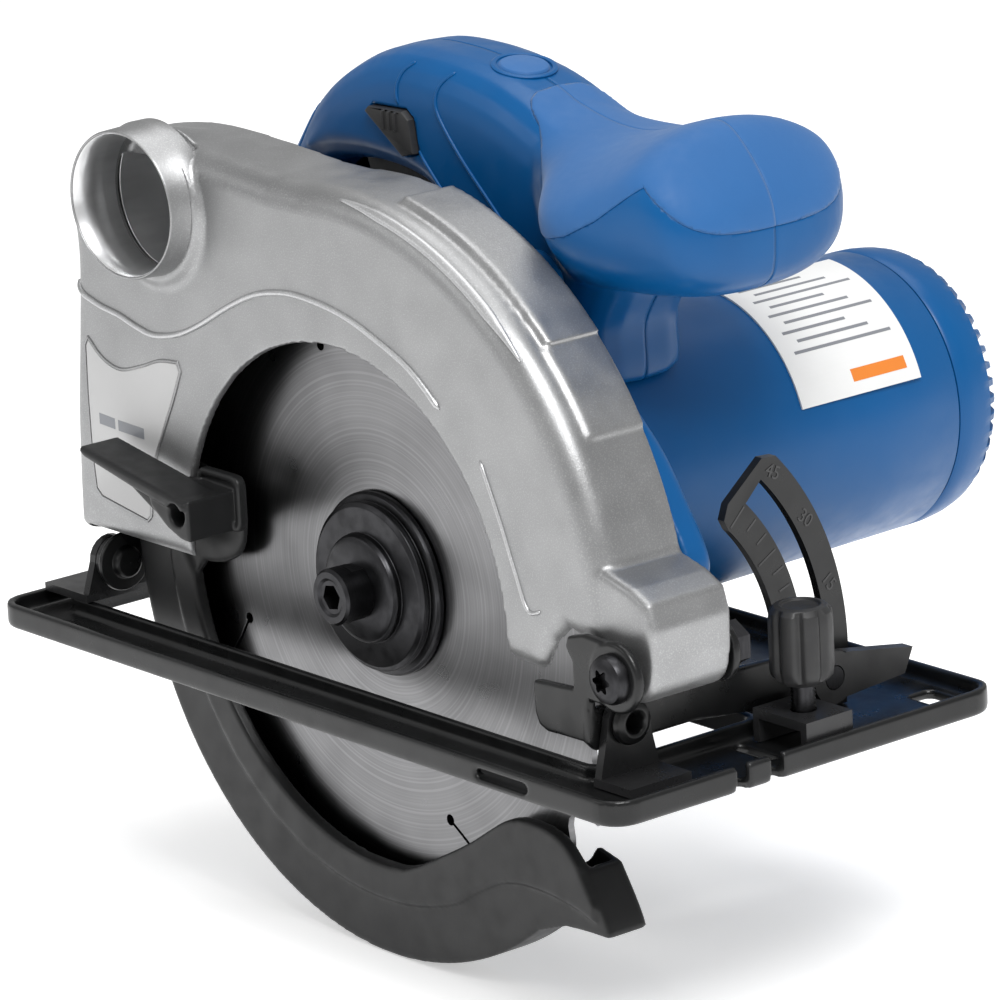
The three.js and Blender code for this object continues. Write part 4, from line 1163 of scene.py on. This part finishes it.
def text_mesh(words, size):
    curve = bpy.data.curves.new("words", "FONT")
    curve.body = words
    curve.size = size * MM
    curve.extrude = 0.18 * MM
    curve.align_x = "CENTER"
    curve.align_y = "CENTER"
    holder = bpy.data.objects.new("words", curve)
    bpy.context.scene.collection.objects.link(holder)
    bpy.context.view_layer.update()
    mesh = bpy.data.meshes.new_from_object(holder.evaluated_get(bpy.context.evaluated_depsgraph_get()))
    bpy.data.objects.remove(holder)
    made = bpy.data.objects.new("words", mesh)
    bpy.context.scene.collection.objects.link(made)
    return made


def scale_marks(face_x, centre):
    """Tick lines and angle figures on the tilt quadrant."""
    marks = []
    for step in range(0, 10):
        a = math.radians(-1 + 5 * step)
        long_mark = step % 3 == 0
        r0, r1 = (56.8, 63.4) if long_mark else (59.5, 63.4)
        out, along = Vector((math.cos(a), math.sin(a))), Vector((-math.sin(a), math.cos(a)))
        ring = []
        for r, s in ((r0, -0.25), (r1, -0.25), (r1, 0.25), (r0, 0.25)):
            point = Vector(centre) + out * r + along * s
            ring.append((point.x, point.y))
        marks.append(prism("tick", ring, "yz", face_x - 0.1, face_x + 0.15))
    for words, angle in (("15", 14), ("30", 29), ("45", 42.5)):
        figure = text_mesh(words, 5.0)
        a = math.radians(angle)
        centre_y = centre[0] + 75.3 * math.cos(a)
        centre_z = centre[1] + 75.3 * math.sin(a)
        turn_by = Matrix.Rotation(a - math.radians(70), 4, "X")
        facing = Matrix(((0, 0, 1, 0), (1, 0, 0, 0), (0, 1, 0, 0), (0, 0, 0, 1)))
        figure.data.transform(Matrix.Translation(Vector((face_x, centre_y, centre_z)) * MM) @ turn_by @ facing)
        marks.append(figure)
    marks = join("quadrant_marks", marks)
    # The marks take a lighter grey than the plate as painted highlight on the raised figures.
    piece(marks, "shoe", "black_paint", "mark_painted_highlight")


def fence_knob():
    low, high = box_mm("fence_knob_screw")
    centre = ((low[0] + high[0]) / 2, (low[1] + high[1]) / 2)
    profile = [(0.01, 18.6), (5.0, 18.6), (5.8, 19.2), (7.0, 20.0), (8.0, 21.2), (8.3, 23), (8.3, 35.5), (8.0, 37.6),
               (6.8, 38.9), (5.2, 39.3), (4.8, 38.5), (0.01, 38.3)]
    flutes = 8
    per_flute = 12

    def fluted(k, r, level, segment):
        if not 4 <= k <= 7:
            return r
        t = (segment % per_flute) / per_flute
        return r - 1.1 * max(0.0, math.cos(2 * math.pi * t)) ** 2

    knob = turn("fence_clamp_knob", "z", centre, profile, flutes * per_flute, fluted)
    crisp(knob, 0.3, 2, 32)
    piece(knob, "fence_screw", "black_plastic", replaces=["fence_knob_screw"])
    pitch = 1.0
    thread = []
    level = low[2]
    while level < 18.2:
        thread += [(2.7, level), (3.2, level + pitch / 2)]
        level += pitch
    shank = turn("fence_clamp_thread", "z", centre, [(0.01, low[2])] + thread + [(3.0, 18.8), (0.01, 18.8)], 40)
    smooth_shade(shank)
    piece(shank, "fence_screw", "zinc_steel", "dark_steel")


def star_screw(name, body, y_face, centre, radius, replaces):
    """Button-head screw with a six-lobed recess, looking along -Y."""
    profile = [(0.01, y_face + 4.2), (radius, y_face + 4.2), (radius, y_face + 2.6), (radius * 0.9, y_face + 1.2),
               (radius * 0.62, y_face + 0.2), (radius * 0.3, y_face), (0.01, y_face)]
    head = turn(name, "y", centre, profile, 48)
    star = []
    for i in range(48):
        a = 2 * math.pi * i / 48
        r = radius * (0.42 + 0.09 * math.cos(6 * a))
        star.append((centre[0] + r * math.cos(a), centre[1] + r * math.sin(a)))
    combine(head, [prism("star", star, "xz", y_face - 2, y_face + 2.2)], "DIFFERENCE")
    crisp(head, 0.15, 2, 30)
    return piece(head, body, "zinc_steel", "dark_steel", replaces)


def pivots():
    low, high = box_mm("depth_pivot_bolt")
    star_screw("depth_pivot_screw", "bevel_frame", low[1], (DEPTH_X, DEPTH_Z), 6.4, ["depth_pivot_bolt"])
    shank = turn("depth_pivot_shank", "y", (DEPTH_X, DEPTH_Z), [
        (0.01, low[1] + 3.8), (3.0, low[1] + 3.8), (3.0, high[1] - 0.6), (2.5, high[1]), (0.01, high[1])], 32)
    smooth_shade(shank)
    piece(shank, "bevel_frame", "zinc_steel")
    rear_low, rear_high = box_mm("rear_bevel_rivet")
    x0, x1 = rear_low[0], rear_high[0]
    stud = turn("rear_pivot_stud", "x", (TILT_Y, TILT_Z), [
        (0.01, x0), (3.0, x0), (3.0, x1 - 4), (7.8, x1 - 4), (8.2, x1 - 3.4), (8.0, x1 - 2.4), (4.6, x1 - 2.0), (4.2, x1 - 0.4),
        (3.6, x1), (0.01, x1)], 56)
    crisp(stud, 0.25, 2, 30)
    piece(stud, "bevel_frame", "dark_steel", "black_paint", ["rear_bevel_rivet"])
    yoke()
    x0, x1 = box_mm("front_bevel_rivet")[0][0], box_mm("front_bevel_rivet")[1][0]
    rivet = turn("front_pivot_rivet", "x", (TILT_Y, TILT_Z), [
        (1.8, x0), (3.0, x0), (3.0, x1 - 3), (5.6, x1 - 3), (5.9, x1 - 2.2), (5.4, x1 - 1.0), (4.4, x1 - 0.4), (3.6, x1 - 0.2),
        (2.9, x1 - 0.6), (2.2, x1 - 2)], 56)
    crisp(rivet, 0.2, 2, 30)
    piece(rivet, "bevel_frame", "zinc_steel", "black_paint", ["front_bevel_rivet"])


def yoke():
    """The tilting frame's front fork: two cheeks round the lug and a cross web."""
    low, high = box_mm("front_yoke")
    x1 = box_mm("front_pivot_ear")[0][0] - 0.3
    x0 = x1 - 2.5
    cheek = [(81, 26), (81.2, 17.5), (82.5, 14.6), (85.5, 13.4), (x1, 13.8), (x1, 25.2)]
    cheek += arc(DEPTH_X, DEPTH_Z, 8.4, -88, 95, 12) + [(101, 41.8), (95, 40.2), (94, 37.5), (96.5, 34), (96.5, 27)]
    near = prism("near", cheek, "xz", low[1] + 0.1, low[1] + 2.6, 0.6, 0.4, 3)
    far = prism("far", cheek, "xz", -52, -49.5, 0.4, 0.6, 3)
    web = prism("web", [(low[1], 13.8), (low[1] + 2.2, 11.5), (-49.5, 11.5), (-49.5, 22.5), (low[1], 22.5)], "yz", x0, x1, 0.4, 0.4, 2)
    clamp_y, clamp_z = [(a + b) / 2 for a, b in zip(*box_mm("bevel_clamp_bolt"))][1:]
    arm_ring = [(-50, 11.5), (-24, 8.5)] + arc(clamp_y, clamp_z, 7, -80, 90, 12) + [(-50, 22.5)]
    arm = prism("arm", arm_ring, "yz", x0, x1, 0.4, 0.4, 2)
    combine(near, [far, web, arm], "UNION")
    boss = turn("boss", "y", (DEPTH_X, DEPTH_Z), [(3.3, low[1] - 0.2), (8.6, low[1] - 0.2), (9.2, low[1] + 0.6), (9.2, low[1] + 2.2),
                                                 (3.3, low[1] + 2.2)], 48)
    combine(near, [boss], "UNION")
    cuts = [prism("a", arc(TILT_Y, TILT_Z, 3.3, 0, 350, 24), "yz", x0 - 5, x1 + 5),
            prism("b", arc(clamp_y, clamp_z, 3.3, 0, 350, 24), "yz", x0 - 5, x1 + 5),
            prism("c", arc(DEPTH_X, DEPTH_Z, 3.3, 0, 350, 24), "xz", -95, -40)]
    combine(near, cuts, "DIFFERENCE")
    remesh(near, 0.45, 2)
    near.name = "front_fork"
    piece(near, "bevel_frame", "black_paint", replaces=["front_yoke"])


def labels():
    ring = open_spline([(-106.0, 81.2), (-100, 76.8), (-92, 75.0), (-82, 77.6), (-74, 80.4), (-66.5, 81.2)], 5)
    ring += open_spline([(-65.6, 79.2), (-69.5, 71), (-75.5, 60), (-79.6, 52), (-81.6, 44), (-82.8, 36.5)], 4)
    ring += [(-84.2, 35.2), (-104, 38.2), (-106.2, 40), (-107.2, 50), (-107.4, 66), (-107.0, 79.6)]
    face = GUARD_NEAR
    film = prism("guard_label_film", ring, "xz", face - 0.25, face + 0.3, 0.12, 0, 2)
    piece(film, "saw_head", "label", "grey_label", ["guard_label"])
    frame_ring = prism("guard_label_frame", grow(ring, 0.9), "xz", face - 0.4, face + 0.4, 0.3, 0, 3)
    opening = prism("opening", grow(ring, 0.25), "xz", face - 3, face + 3)
    combine(frame_ring, [opening], "DIFFERENCE")
    smooth_shade(frame_ring)
    crisp(frame_ring, 0.15, 2, 40)
    piece(frame_ring, "saw_head", "cast_aluminium")
    bars = [prism("bar", [(x0, z0), (x1, z0 - 0.4), (x1, z0 + 2.6), (x0, z0 + 3.0)], "xz", face - 0.31, face - 0.1)
            for x0, x1, z0 in ((-103, -96, 58.5), (-94.5, -83, 58.0))]
    emblem = join("guard_label_bars", bars)
    piece(emblem, "saw_head", "label", "label_print")


def cylinder_patch(name, radius, y0, y1, start, end, steps=24, thick=0.12):
    outer = arc(MOTOR_X, MOTOR_Z, radius + thick, start, end, steps)
    inner = arc(MOTOR_X, MOTOR_Z, radius - 0.4, end, start, steps)
    return prism(name, outer + inner, "xz", y0, y1)


def rating_label():
    """Plain label wrapped round the motor, with bars where print would be."""
    radius = 39.55
    film = cylinder_patch("rating_label_film", radius, 28.5, 70.8, 19, 86, 30)
    piece(film, "saw_head", "label", replaces=["rating_label"])
    bars = []
    for row in range(9):
        start = 40 + row * 4.6
        y_end = 67 - (row % 3) * 6
        bars.append(cylinder_patch("bar", radius + 0.05, 33 + (row % 2) * 3, y_end, start, start + 1.3, 3))
    grey = join("rating_label_bars", bars)
    piece(grey, "saw_head", "label", "label_print")
    accent = cylinder_patch("rating_label_stripe", radius + 0.05, 48, 67, 24, 29, 6)
    piece(accent, "saw_head", "label", "label_accent")


# ---------- nodes that keep their CAD shape ----------
def carry_over():
    slots = {part["node"]: part["material_slot"] for part in frame["record"]["subparts"]}
    finish = {"depth_pivot_nut": "dark_steel", "bevel_clamp_bolt": "dark_steel"}
    for name, obj in frame["nodes"].items():
        obj.data.materials.clear()
        obj.data.materials.append(MAT[finish.get(name, slots[name])])
    for name in ("rear_bracket", "depth_bar", "bevel_lever", "depth_lever", "depth_pivot_nut",
                 "bevel_clamp_bolt", "cord_inlet", "spindle_lock_button"):
        crisp(frame["nodes"][name], 0.6, 2, 30)
    for name in ("front_pivot_ear", "rear_pivot_ear", "fence_bridge"):
        crisp(frame["nodes"][name], 1.1, 3, 30)


camera()
studio()
carry_over()
guard_surface = upper_guard()
port()
guard_ridges(guard_surface)
lower_guard()
guard_lever()
saw_blade()
spindle_parts()
motor_housing()
end_cap()
gear_case()
handle_surface = handle()
flank_lines(handle_surface)
handle_cap(handle_surface)
switches()
shoe_plate()
quadrant()
fence_knob()
pivots()
labels()
rating_label()
